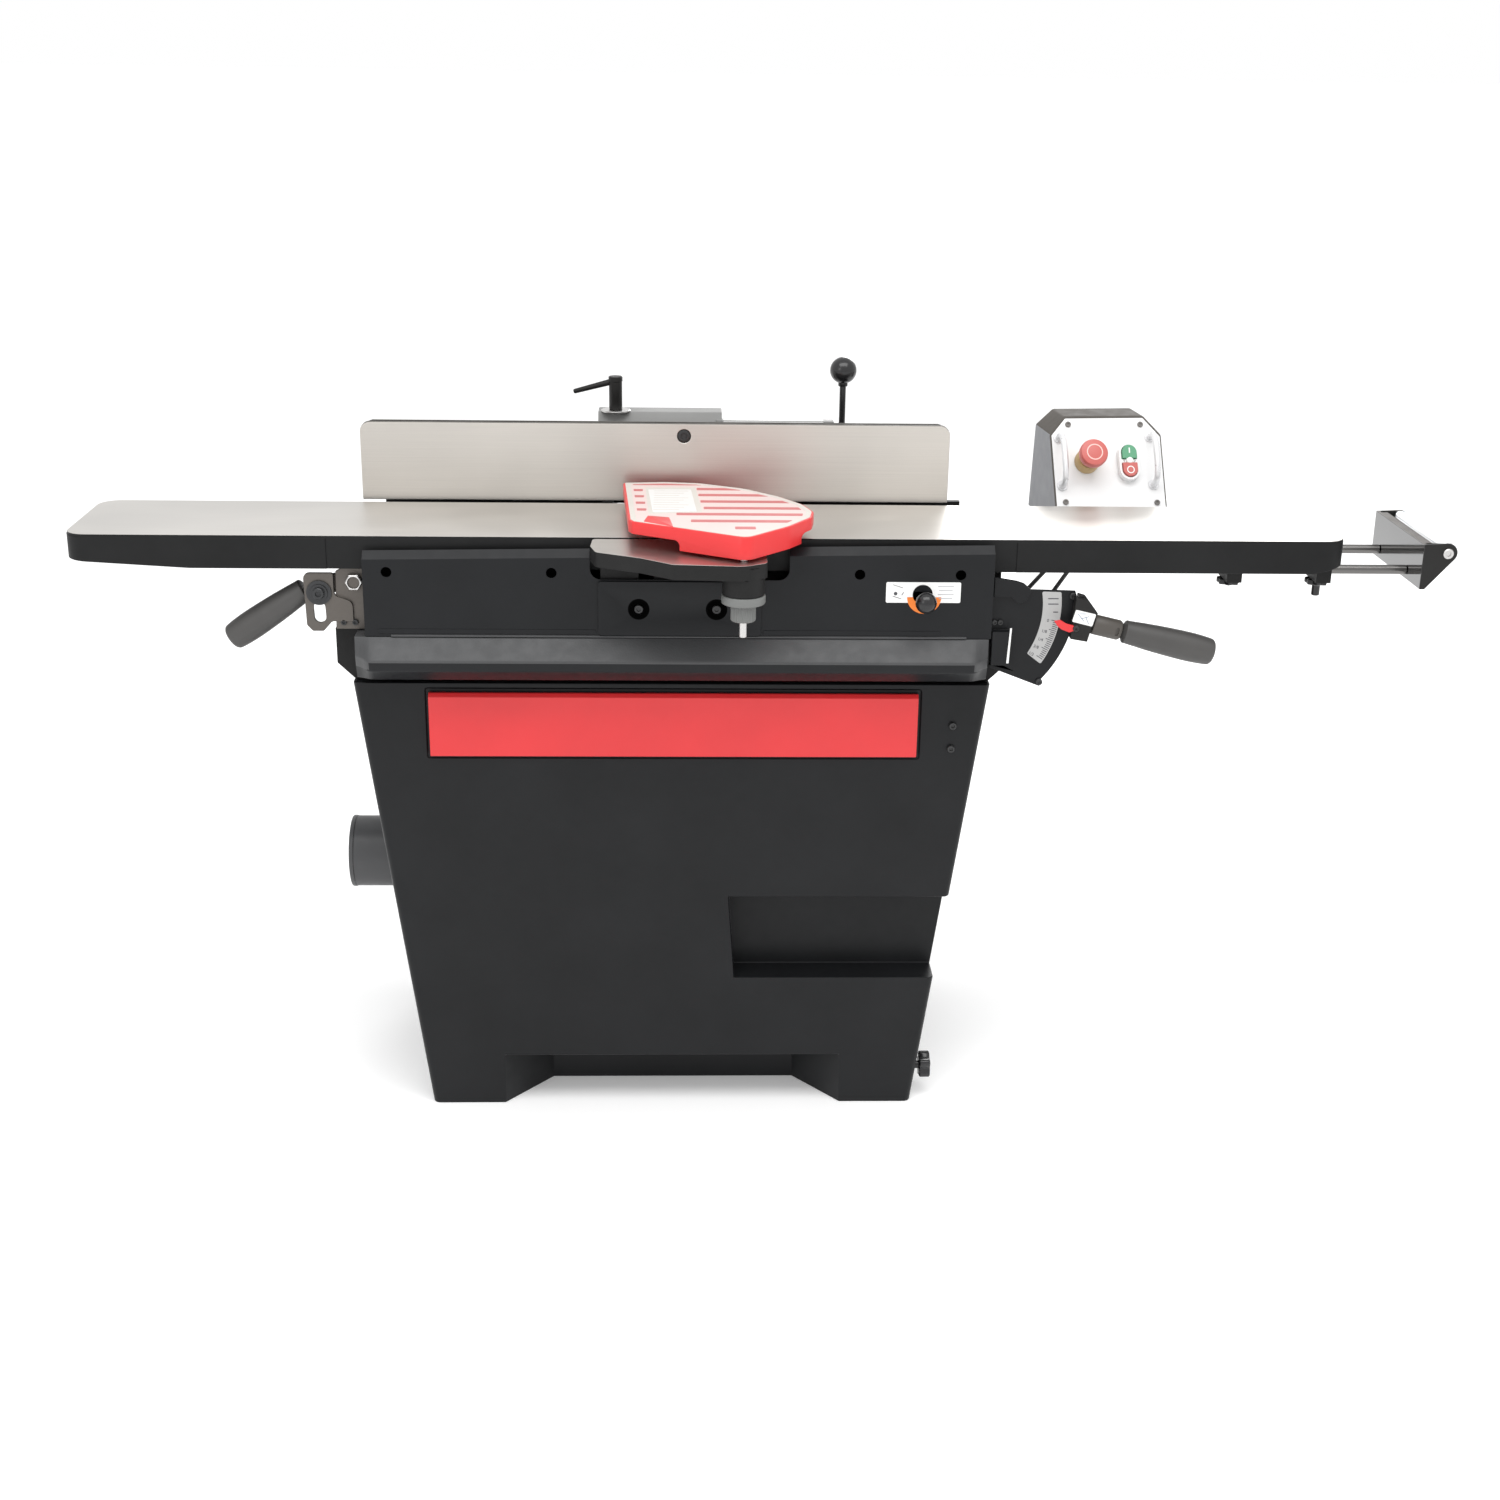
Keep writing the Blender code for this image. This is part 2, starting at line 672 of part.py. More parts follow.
def table(name, low, high, inner, lugs, body, look=GROUND_STEEL):
    """A ground table with hanging skirts, rounded outer corners and two pairs of lugs."""
    outer = low if inner == high else high
    sign = 1 if outer > inner else -1
    corner = 0.028
    plan = [(inner, 0.0), (outer, 0.0), (outer, TABLE_WIDTH), (inner, TABLE_WIDTH)]
    made = part(
        name, prism(rounded(plan, [0.0, corner, corner, 0.0], 5), "z", SKIRT_BOTTOM, TABLE_TOP), look, body
    )
    inside = sorted((0.0, outer - sign * 0.010))
    cut(made, box((inside[0], 0.009, 0.7), (inside[1], TABLE_WIDTH - 0.009, TABLE_TOP - PLATE)))
    near = sorted((sign * 0.062, 0.0))
    cut(made, box((near[0], -0.01, 0.7), (near[1], 0.21, TABLE_TOP - PLATE)))
    cut(made, rod((0.0, -0.01, HEAD_Z), (0.0, 0.21, HEAD_Z), LIP_CLEARANCE_R, 48))
    for x, z in lugs:
        lug = [(x - 0.013, TABLE_TOP - PLATE + 0.002), (x - 0.013, z)]
        lug += arc((x, z), 0.013, 180, 360, 8)[1:-1] + [(x + 0.013, z), (x + 0.013, TABLE_TOP - PLATE + 0.002)]
        for near_y, far_y in ((0.0660, 0.0815), (0.1085, 0.1240)):
            join(made, prism(lug, "y", near_y, far_y))
        cut(made, rod((x, 0.06, z), (x, 0.13, z), 0.0066, 20))
    return made


infeed_pins = [link_end(p, INFEED_LEAN) for p in INFEED_PIVOTS]
outfeed_pins = [link_end(p, -OUTFEED_LEAN) for p in OUTFEED_PIVOTS]
infeed_table = table("infeed_table", LIP, TABLE_RIGHT, LIP, infeed_pins, infeed)
outfeed_table = table("outfeed_table", TABLE_LEFT, -LIP, -LIP, outfeed_pins, outfeed)
ROD_YS = (0.047, 0.160)
ROD_Z = 0.789
ROD_R = 0.00635
for y in ROD_YS:
    cut(infeed_table, rod((0.80, y, ROD_Z), (0.95, y, ROD_Z), 0.0072, 20))
taper = prism([(-0.80, 0.70), (-0.61, 0.70), (-0.61, 0.7930), (-0.80, 0.8040)], "y", -0.01, 0.21)
cut(outfeed_table, taper)
cut(infeed_table, prism([(0.840, 0.70), (0.90, 0.70), (0.90, 0.8060), (0.840, 0.7930)], "y", -0.01, 0.21))


def link(name, pivot, pin, shaft_ends, body):
    """A link: shaft in the base, arm, and the pin that carries the table."""
    made = part(name, prism(capsule(pivot, pin, 0.0150, 0.0125), "y", 0.0840, 0.1060), ZINC, body)
    join(made, rod((pivot[0], shaft_ends[0], pivot[1]), (pivot[0], shaft_ends[1], pivot[1]), 0.0080))
    join(made, rod((pin[0], 0.0640, pin[1]), (pin[0], 0.1260, pin[1]), 0.0058))
    return made


infeed_arm = link("infeed_link", INFEED_PIVOTS[0], infeed_pins[0], (0.0030, 0.1700), infeed_link)
link("infeed_second_link", INFEED_PIVOTS[1], infeed_pins[1], (0.0250, 0.1700), infeed_second)
outfeed_arm = link("outfeed_link", OUTFEED_PIVOTS[0], outfeed_pins[0], (0.0030, 0.1700), outfeed_link)
link("outfeed_second_link", OUTFEED_PIVOTS[1], outfeed_pins[1], (0.0250, 0.1700), outfeed_second)

# Infeed lever: an arm behind the depth scale, a block outside it, and the grip
join(infeed_arm, prism(capsule(INFEED_PIVOTS[0], (0.541, 0.738), 0.0150, 0.0110), "y", 0.0035, 0.0090))
BLOCK = [(0.5447, 0.7625), (0.5574, 0.7459), (0.5509, 0.7284), (0.5455, 0.7068)]
join(infeed_arm, prism([(0.5275, 0.7672)] + BLOCK + [(0.5228, 0.7107)], "y", -0.0260, -0.0115))
join(infeed_arm, prism([(0.5345, 0.7653)] + BLOCK + [(0.5345, 0.7088)], "y", -0.0130, 0.0090))
GRIP_FROM = (0.5497, -0.012, 0.7288)
GRIP_TO = (0.7140, -0.012, 0.6900)
grip_way = Vector(GRIP_TO) - Vector(GRIP_FROM)
grip_length = grip_way.length
infeed_grip = part(
    "infeed_grip",
    lathe(
        [(0.0105, 0.0002), (0.0135, 0.0030), (0.0135, 0.0370), (0.0105, 0.0400), (0.0080, 0.0415)]
        + [(0.0120, 0.0440), (0.0160, 0.0700), (0.0195, 0.1050), (0.0190, 0.1350)]
        + [(0.0150, grip_length - 0.006), (0.0085, grip_length - 0.0008), (0.0, grip_length)],
        Vector(GRIP_FROM) + grip_way.normalized() * 0.003,
        grip_way,
        24,
    ),
    GRIP,
    infeed_link,
)
part(
    "infeed_pointer",
    prism(
        [(0.5002, 0.7389), (0.5072, 0.7285), (0.5165, 0.7243), (0.5243, 0.7260), (0.5232, 0.7338), (0.5072, 0.7410)],
        "y",
        -0.0290,
        -0.0263,
    ),
    RED_PAINT,
    infeed_link,
)

SECTOR_CENTRE = INFEED_PIVOTS[0]
sector = part(
    "depth_scale",
    prism(
        [(0.345, 0.7120), (0.4200, 0.7120), (0.4200, 0.6660), (0.4890, 0.6395)]
        + arc(SECTOR_CENTRE, 0.1640, -42, 2, 12)
        + [(0.5290, 0.7715), (0.470, 0.773), (0.345, 0.780)],
        "y",
        -0.0070,
        -0.0040,
    ),
    BLACK_PAINT,
)
cut(sector, rod((SECTOR_CENTRE[0], -0.02, SECTOR_CENTRE[1]), (SECTOR_CENTRE[0], 0.0, SECTOR_CENTRE[1]), 0.0100))
join(sector, box((0.4205, -0.0200, 0.6723), (0.4445, -0.0060, 0.7180)))
join(
    sector,
    prism(
        [(0.4210, 0.7640), (0.4440, 0.7640), (0.4533, 0.7540), (0.4650, 0.7600), (0.4715, 0.7724)]
        + [(0.4601, 0.7819), (0.4507, 0.7850), (0.4210, 0.7900)],
        "y",
        -0.0125,
        -0.0065,
    ),
)
for x, z in ((0.4340, 0.6750), (0.3530, 0.7230)):
    join(sector, rod((x, -0.0055, z), (x, BASE_FRONT - GAP, z), 0.0050, 12))

# Outfeed adjuster: slotted plate on the base, lever arm behind it
bracket = part(
    "outfeed_bracket",
    prism(
        [(-0.4438, 0.7100), (-0.4060, 0.7100), (-0.4060, 0.8040), (-0.4110, 0.8040), (-0.4412, 0.7881)],
        "y",
        0.0100,
        0.0140,
    ),
    ZINC,
)
slot_plate = [(-0.4440, 0.7866), (-0.4831, 0.7866), (-0.4812, 0.7161), (-0.4739, 0.7080), (-0.4596, 0.7080)]
slot_plate += [(-0.4479, 0.7212), (-0.4200, 0.7212), (-0.4200, 0.7480), (-0.4440, 0.7560)]
plate_radii = [0.003, 0.008, 0.004, 0.003, 0.003, 0.006, 0.002, 0.010, 0.008]
join(bracket, prism(rounded(slot_plate, plate_radii, 3), "y", 0.0060, 0.0110))
join(bracket, rod((-0.4631, 0.0035, 0.7604), (-0.4631, 0.0080, 0.7604), 0.0165, 20))
join(bracket, rod((-0.4631, -0.0030, 0.7604), (-0.4631, 0.0050, 0.7604), 0.0080, 12))
cut(bracket, rod((-0.417, 0.0, 0.775), (-0.417, 0.02, 0.775), 0.0087))
cut(bracket, prism(capsule((-0.4632, 0.7272), (-0.4637, 0.7400), 0.0077, 0.0077, 6), "y", 0.0, 0.0200))
for x in (-0.4331, -0.4181):
    join(bracket, rod((x, 0.0120, 0.7196), (x, BASE_FRONT - GAP, 0.7196), 0.0040, 12))
join(outfeed_arm, prism(circle((-0.417, 0.775), 0.0118, 6), "y", 0.0005, 0.0095))
join(
    outfeed_arm,
    prism(
        capsule(OUTFEED_PIVOTS[0], (-0.4714, 0.7645), 0.0120, 0.0120),
        "y",
        0.0180,
        0.0280,
    ),
)
OUT_GRIP_FROM = (-0.4854, 0.0300, 0.7585)
OUT_GRIP_TO = (-0.5860, 0.0300, 0.6905)
out_way = Vector(OUT_GRIP_TO) - Vector(OUT_GRIP_FROM)
out_length = out_way.length
part(
    "outfeed_grip",
    lathe(
        [(0.0130, 0.0), (0.0165, 0.020), (0.0188, 0.060), (0.0180, 0.090)]
        + [(0.0145, out_length - 0.006), (0.0080, out_length - 0.001), (0.0, out_length)],
        OUT_GRIP_FROM,
        out_way,
        24,
    ),
    GRIP,
    outfeed_link,
)

# ---------------------------------------------------------------- rabbeting ledge and guard

LEDGE_PLAN = (
    [(0.118, -0.004), (-0.105, -0.004), (-0.1065, -0.043), (-0.0985, -0.0745), (-0.0414, -0.1034)]
    + [(-0.0012, -0.1350), (0.0890, -0.1428), (0.118, -0.1250)]
)
LEDGE_RADII = [0.0, 0.006, 0.020, 0.012, 0.030, 0.012, 0.026, 0.012]
ledge = part("rabbet_ledge", prism(rounded(LEDGE_PLAN, LEDGE_RADII, 4), "z", 0.8170, 0.8370), GROUND_STEEL)
cut(
    ledge,
    prism(
        [(0.110, -0.012), (-0.097, -0.012), (-0.0985, -0.043), (-0.0900, -0.0690), (-0.036, -0.0960)]
        + [(0.0040, -0.1270), (0.0560, -0.1310), (0.0560, -0.0850), (0.110, -0.0850)],
        "z",
        0.79,
        0.8290,
    ),
)
join(ledge, rod((*GUARD_PIVOT, 0.7940), (*GUARD_PIVOT, 0.8320), 0.0270, 28))
for low, high in ((-0.095, -0.045), (0.045, 0.110)):
    join(ledge, box((low, -0.0150, 0.7656), (high, -0.0050, 0.8300)))
cut(ledge, rod((*GUARD_PIVOT, 0.78), (*GUARD_PIVOT, 0.85), 0.0062))
cut(ledge, rod((0.0, -0.0200, HEAD_Z), (0.0, 0.0100, HEAD_Z), 0.0278, 32))

GUARD_PLAN = (
    [(-0.0702, 0.1835), (-0.0573, -0.0378), (-0.0524, -0.0493), (0.0920, -0.1348), (0.1475, -0.0712)]
    + [(0.1784, -0.0205), (0.1831, 0.0138), (0.1720, 0.0550), (0.1427, 0.1020), (0.0970, 0.1505)]
    + [(0.0359, 0.1835), (-0.0124, 0.1900)]
)
GUARD_RADII = [0.006, 0.006, 0.006, 0.0165, 0.060, 0.030, 0.030, 0.050, 0.060, 0.060, 0.050, 0.020]
outline = rounded(GUARD_PLAN, GUARD_RADII, 3)
guard = part("guard", prism(outline, "z", 0.8415, GUARD_TOP), RED_PAINT, guard_body)
centre = Vector((0.055, 0.045))
cut(
    guard,
    prism(
        [(-0.0655, 0.1790), (-0.0525, -0.0350), (0.0700, -0.0920), (0.1190, -0.0920), (0.1425, -0.0640)]
        + [(0.1730, -0.0180), (0.1775, 0.0120), (0.1670, 0.0525), (0.1380, 0.0985), (0.0940, 0.1455)]
        + [(0.0345, 0.1785), (-0.0124, 0.1850)],
        "z",
        0.82,
        0.8675,
    ),
)
cut(guard, box((-0.10, -0.15, 0.82), (0.004, 0.25, 0.8545)))
cut(guard, rod((*GUARD_PIVOT, 0.83), (*GUARD_PIVOT, 0.8660), 0.0053))
part(
    "guard_post",
    lathe([(0.0045, 0.0), (0.0050, 0.001), (0.0050, 0.1280)], (*GUARD_PIVOT, 0.7377), (0, 0, 1), 20),
    BRIGHT_STEEL,
    guard_body,
)
part(
    "guard_spring_cap",
    lathe(
        [(0.0062, 0.0), (0.0262, 0.0), (0.0280, 0.0018), (0.0280, 0.0117), (0.0062, 0.0117)],
        (*GUARD_PIVOT, 0.7820),
        (0, 0, 1),
        28,
        True,
    ),
    GREY_PLASTIC,
)
part(
    "guard_tension_knob",
    lathe(
        [(0.0053, 0.0), (0.0145, 0.0), (0.0160, 0.0020), (0.0160, 0.0225), (0.0053, 0.0225)],
        (*GUARD_PIVOT, 0.7592),
        (0, 0, 1),
        20,
        True,
    ),
    GREY_PLASTIC,
    knob_body,
)

# ---------------------------------------------------------------- fence

fence = part(
    "fence",
    prism(
        rounded([(FENCE_LEFT, 0.8385), (FENCE_RIGHT, 0.8385), (FENCE_RIGHT, 0.9470), (FENCE_LEFT, 0.9470)],
                [0.0, 0.0, 0.012, 0.012], 3),
        "y",
        FENCE_FACE,
        FENCE_FACE + 0.0090,
    ),
    GROUND_STEEL,
    fence_tilt,
)
join(
    fence,
    prism([(0.2200, 0.9370), (0.2330, 0.9370), (0.2330, 0.9466), (0.2200, 0.9466)], "x", FENCE_LEFT + 0.012,
          FENCE_RIGHT - 0.012),
)
cut(fence, rod((0.0137, 0.20, 0.9300), (0.0137, 0.2165, 0.9300), 0.0095, 20))
tilt_bracket = part(
    "fence_tilt_bracket", box((-0.034, 0.2218, 0.8395), (0.014, 0.2355, 0.9250)), BLACK_CAST, fence_tilt
)
cut(tilt_bracket, rod((-0.1, *FENCE_HINGE), (0.1, *FENCE_HINGE), 0.0042))

carriage = part(
    "fence_carriage",
    prism(
        [(0.3110, 0.8364), (0.3620, 0.8364), (0.3620, 0.9430), (0.3280, 0.9430), (0.3110, 0.9050)],
        "x",
        -0.109,
        0.068,
    ),
    BLACK_CAST,
    fence_slide,
)
cut(
    carriage,
    prism([(0.318, 0.82), (0.380, 0.82), (0.380, 0.930), (0.334, 0.930), (0.318, 0.898)], "x", -0.095, 0.054),
)
for low, high in ((-0.062, -0.036), (0.016, 0.042)):
    join(
        carriage,
        prism(
            arc(FENCE_HINGE, 0.0050, 90, 270, 6)
            + [(0.3150, 0.8390), (0.3150, 0.8800), (0.2700, 0.8560), (0.2400, 0.8490)],
            "x",
            low,
            high,
        ),
    )
join(carriage, rod((-0.055, *FENCE_HINGE), (0.035, *FENCE_HINGE), 0.0038, 16))
join(carriage, box((0.060, 0.3215, 0.8950), (0.2290, 0.3385, 0.9320)))
join(carriage, rod((-0.084, 0.330, 0.9400), (-0.084, 0.330, 0.9455), 0.0210, 28))
cut(carriage, rod((0.20, 0.330, 0.912), (0.24, 0.330, 0.912), 0.0052, 16))

support = part("fence_support", box((-0.100, 0.2004, 0.6343), (0.100, 0.2104, 0.8280)), BLACK_CAST)
cut(support, box((-0.060, 0.19, 0.60), (0.060, 0.22, 0.7750)))
cut(support, rod((0, 0.19, HEAD_Z), (0, 0.22, HEAD_Z), 0.0160))
for low, high in ((-0.100, -0.086), (0.086, 0.100)):
    cheek = [(0.2050, 0.7450), (0.4300, 0.7450), (0.4300, 0.8350), (0.2420, 0.8350), (0.2320, 0.8280)]
    join(support, prism(cheek + [(0.2050, 0.8280)], "x", low, high))
join(support, box((-0.100, 0.2680, 0.8230), (0.100, 0.4300, 0.8360)))
for low, high in ((-0.405, -0.090), (0.090, 0.405)):
    join(support, box((low, 0.2445, 0.8180), (high, 0.2545, 0.8335)))

part(
    "fence_lock_lever",
    rod((-0.084, 0.330, 0.9458), (-0.084, 0.330, 0.9930), 0.0090),
    BRIGHT_STEEL,
    fence_lock,
)
join(bpy.data.objects["fence_lock_lever"], rod((-0.084, 0.330, 0.9860), (-0.1440, 0.330, 0.9700), 0.0050, 12))
tilt_lever = part(
    "tilt_lock_lever", rod((0.2293, 0.330, 0.912), (0.2530, 0.330, 0.912), 0.0120), BLACK_PLASTIC, tilt_lock
)
join(tilt_lever, rod((0.2060, 0.330, 0.912), (0.2400, 0.330, 0.912), 0.0048, 16))
join(tilt_lever, rod((0.2410, 0.330, 0.912), (0.2410, 0.330, 0.995), 0.0045, 16))
join(
    tilt_lever,
    lathe(
        [(0.0, -0.019)]
        + [(0.019 * math.cos(math.radians(a)), 0.019 * math.sin(math.radians(a))) for a in range(-60, 90, 30)]
        + [(0.0, 0.019)],
        (0.2410, 0.330, 1.0040),
        (0, 0, 1),
        20,
    ),
)

# ---------------------------------------------------------------- small controls

ball = [(0.0, -0.014)]
ball += [(0.014 * math.cos(math.radians(a)), 0.014 * math.sin(math.radians(a))) for a in range(-60, 90, 30)]
ball += [(0.0, 0.014)]
plunger = part("depth_stop_knob", rod((0.328, -0.045, 0.764), (0.328, 0.012, 0.764), 0.0050, 16), BLACK_PLASTIC, stop_pin)
join(plunger, lathe(ball, (0.328, -0.0440, 0.764), (0, -1, 0), 20))

clamp = part(
    "cabinet_knob",
    prism(
        [
            (0.045 + r * math.cos(a), 0.0446 + r * math.sin(a))
            for a, r in [(math.pi * k / 5, 0.020 if k % 2 else 0.0155) for k in range(10)]
        ],
        "x",
        0.3570,
        0.3730,
    ),
    BLACK_PLASTIC,
    clamp_knob,
)
join(clamp, rod((0.3520, 0.045, 0.0446), (0.3600, 0.045, 0.0446), 0.0060, 16))

# ---------------------------------------------------------------- roller extension

frame = part("extension_frame", prism([(0.0, 0.7765), (0.180, 0.7765), (0.180, 0.837), (0.0, 0.837)], "x", 0.985, 0.990),
             BLACK_PAINT, extension)
for near_y, far_y in ((-0.010, -0.005), (0.185, 0.190)):
    ear = [(0.985, 0.7765), (0.992, 0.7765)] + arc((1.0175, 0.8255), 0.0130, -45, 90, 7) + [(0.985, 0.837)]
    join(frame, prism(ear, "y", near_y, far_y))
join(frame, box((0.985, -0.0090, 0.7765), (0.990, 0.1890, 0.837)))
join(frame, box((0.986, 0.0, 0.8325), (0.9985, 0.1800, 0.837)))
join(frame, rod((1.0175, -0.0075, 0.8255), (1.0175, 0.1875, 0.8255), 0.0040, 12))
for y in ROD_YS:
    join(frame, rod((0.600, y, ROD_Z), (0.988, y, ROD_Z), ROD_R, 16))
part(
    "extension_roller",
    lathe(
        [(0.0045, 0.0), (0.0120, 0.0), (0.0125, 0.0005), (0.0125, 0.1875), (0.0120, 0.1880), (0.0045, 0.1880)],
        (1.0175, -0.0040, 0.8255),
        (0, 1, 0),
        28,
        True,
    ),
    ((0.55, 0.55, 0.54), 0.35, 0.9),
    roller_body,
)
for name, x, body in (("extension_clamp_1", 0.7455, screw_one), ("extension_clamp_2", 0.8652, screw_two)):
    clamp_bar = part(name, box((x - 0.010, 0.0180, 0.7770), (x + 0.010, 0.1720, 0.8236)), BLACK_CAST, infeed)
    for y in ROD_YS:
        cut(clamp_bar, rod((x - 0.02, y, ROD_Z), (x + 0.02, y, ROD_Z), 0.0068, 20))
    cut(clamp_bar, box((x - 0.02, 0.062, 0.77), (x + 0.02, 0.145, 0.8120)))
    screw = part(
        name.replace("clamp", "screw"),
        prism(
            [
                (x + r * math.cos(a), 0.047 + r * math.sin(a))
                for a, r in [(math.pi * k / 7, 0.0160 if k % 2 else 0.0120) for k in range(14)]
            ],
            "z",
            0.7690,
            0.7767,
        ),
        BLACK_PLASTIC,
        body,
    )
    if body is screw_two:
        join(screw, rod((x, 0.047, 0.7530), (x, 0.047, 0.7720), 0.0055, 12))

# ---------------------------------------------------------------- console


def console_ring(depth_at):
    """The console's six cornered outline, at the depth given for each height."""
    outline = [(0.0, -0.030), (CONSOLE_WIDTH, -0.030), (CONSOLE_WIDTH, 0.0930), (0.1415, 0.1188)]
    outline += [(0.0235, 0.1188), (0.0, 0.0955)]
    return [(u, depth_at(z), z) for u, z in outline]


LEAN = math.tan(math.radians(CONSOLE_LEAN))
part(
    "console_housing",
    loft(
        console_ring(lambda z: 0.0030 + z * LEAN),
        console_ring(lambda z: 0.1485 - 0.12 * z),
        CONSOLE,
    ),
    ((0.10, 0.10, 0.105), 0.45, 0.0),
)
up = 1 / math.cos(math.radians(CONSOLE_LEAN))
plate = [(0.0028, -0.0290 * up), (0.1637, -0.0290 * up), (0.1637, 0.0918 * up), (0.1400, 0.1165 * up)]
plate += [(0.0245, 0.1165 * up), (0.0028, 0.0945 * up)]
part("console_face", prism(plate, "z", -0.0022, 0.0, FACE), WHITE_PAINT)
for name, x in (("console_handle_left", 0.0125), ("console_handle_right", 0.1480)):
    bar = [(x, 0.033, GAP), (x, 0.033, 0.014), (x, 0.038, 0.022), (x, 0.050, 0.027)]
    bar += [(x, 0.088, 0.027), (x, 0.100, 0.022), (x, 0.105, 0.014), (x, 0.105, GAP)]
    part(name, tube_path([FACE @ Vector(p) for p in bar], 0.0048, 12), SILVER)

estop_base = part(
    "estop_collar",
    lathe(
        [(0.0066, GAP), (0.0175, GAP), (0.0165, 0.0180), (0.0066, 0.0180)], on_face(*ESTOP_AT, 0.0), FACE_NORMAL, 24,
        True,
    ),
    YELLOW_PLASTIC,
)
part(
    "estop_button",
    lathe(
        [(0.0058, 0.0060), (0.0058, 0.0250), (0.0150, 0.0260), (0.0195, 0.0300), (0.0205, 0.0390), (0.0192, 0.0440)]
        + [(0.0, 0.0455)],
        on_face(*ESTOP_AT, 0.0),
        FACE_NORMAL,
        28,
    ),
    RED_PLASTIC,
    estop_body,
)


def half_pill(centre_y, reach, radius, top):
    """Outline of half of a pill shape: a half round end and a flat side."""
    first, last = (0, 180) if top else (180, 360)
    sign = 1 if top else -1
    ring = arc((SWITCH_AT[0], centre_y), radius, first, last, 8)
    flat = centre_y - sign * reach
    return ring + [(ring[-1][0], flat), (ring[0][0], flat)]


pill = capsule(
    (SWITCH_AT[0], SWITCH_AT[1] - 0.0128), (SWITCH_AT[0], SWITCH_AT[1] + 0.0128), 0.0150, 0.0150, 10
)
switch = part("switch_body", prism(pill, "z", GAP, 0.0120, FACE), ((0.75, 0.75, 0.73), 0.4, 0.0))
for name, top, look, body in (
    ("start_button", True, GREEN_PLASTIC, start_body),
    ("stop_button", False, RED_PLASTIC, stop_body),
):
    sign = 1 if top else -1
    centre_y = SWITCH_AT[1] + sign * 0.0128
    cut(switch, prism(half_pill(centre_y, 0.0100, 0.0112, top), "z", 0.0060, 0.03, FACE))
    part(name, prism(half_pill(centre_y, 0.0096, 0.0107, top), "z", 0.0085, 0.0150, FACE), look, body)

arm = part("console_arm", box((BASE_HALF + GAP, 0.110, 0.6640), (0.4560, 0.164, 0.7040)), BLACK_PAINT)
join(arm, rod((0.4545, 0.1300, 0.6960), (0.5970, 0.2970, 0.7830), 0.0032, 12))
bend = [(0.4545, 0.1500, 0.6800), (0.5000, 0.1500, 0.7000), (0.5280, 0.1500, 0.7265), (0.6224, 0.3107, 0.7830)]
join(arm, tube_path(bend, 0.0032, 12))
join(arm, prism(rectangle((0.020, 0.0080), (0.146, 0.100), 0.006, 2), "z", -0.0430, -0.0304, CONSOLE))
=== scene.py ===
"""Studio view of the jointer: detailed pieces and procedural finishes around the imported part."""

import math

import bmesh
import bpy
from mathutils import Matrix, Vector


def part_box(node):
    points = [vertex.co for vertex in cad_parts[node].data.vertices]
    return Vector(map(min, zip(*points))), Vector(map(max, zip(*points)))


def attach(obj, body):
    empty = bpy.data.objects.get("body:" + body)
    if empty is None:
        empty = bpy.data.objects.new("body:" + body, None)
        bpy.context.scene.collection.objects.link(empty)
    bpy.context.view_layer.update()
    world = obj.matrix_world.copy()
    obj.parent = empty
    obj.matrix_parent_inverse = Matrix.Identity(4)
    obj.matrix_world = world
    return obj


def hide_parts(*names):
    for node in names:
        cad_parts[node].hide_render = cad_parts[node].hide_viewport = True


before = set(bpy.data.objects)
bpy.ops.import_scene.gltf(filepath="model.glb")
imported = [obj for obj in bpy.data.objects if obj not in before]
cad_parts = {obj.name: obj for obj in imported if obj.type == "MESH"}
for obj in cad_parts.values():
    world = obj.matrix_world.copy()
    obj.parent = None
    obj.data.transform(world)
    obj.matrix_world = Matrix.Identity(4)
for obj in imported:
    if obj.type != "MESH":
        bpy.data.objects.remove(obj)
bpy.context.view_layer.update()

# The drawing's zero: x on the cutterhead, y on the tables' front edge
outfeed_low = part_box("outfeed_table")[0]
SHIFT = Matrix.Translation((outfeed_low[0] + 0.788, outfeed_low[1], 0.0))

TOP = 0.838
HEAD_Z = 0.802
WIDTH = 0.2000
LINK = 0.0432
INFEED_PIVOT = (0.368, 0.758)
OUTFEED_PIVOT = (-0.417, 0.775)
INFEED_PIVOTS = (INFEED_PIVOT, (0.133, 0.758))
OUTFEED_PIVOTS = (OUTFEED_PIVOT, (-0.157, 0.775))
GUARD_AT = (0.0885, -0.113)
HINGE = (0.2270, 0.8440)
CABINET_HALF = (0.343, 0.4275)
CABINET_TOP = 0.634

# ---------------------------------------------------------------- materials


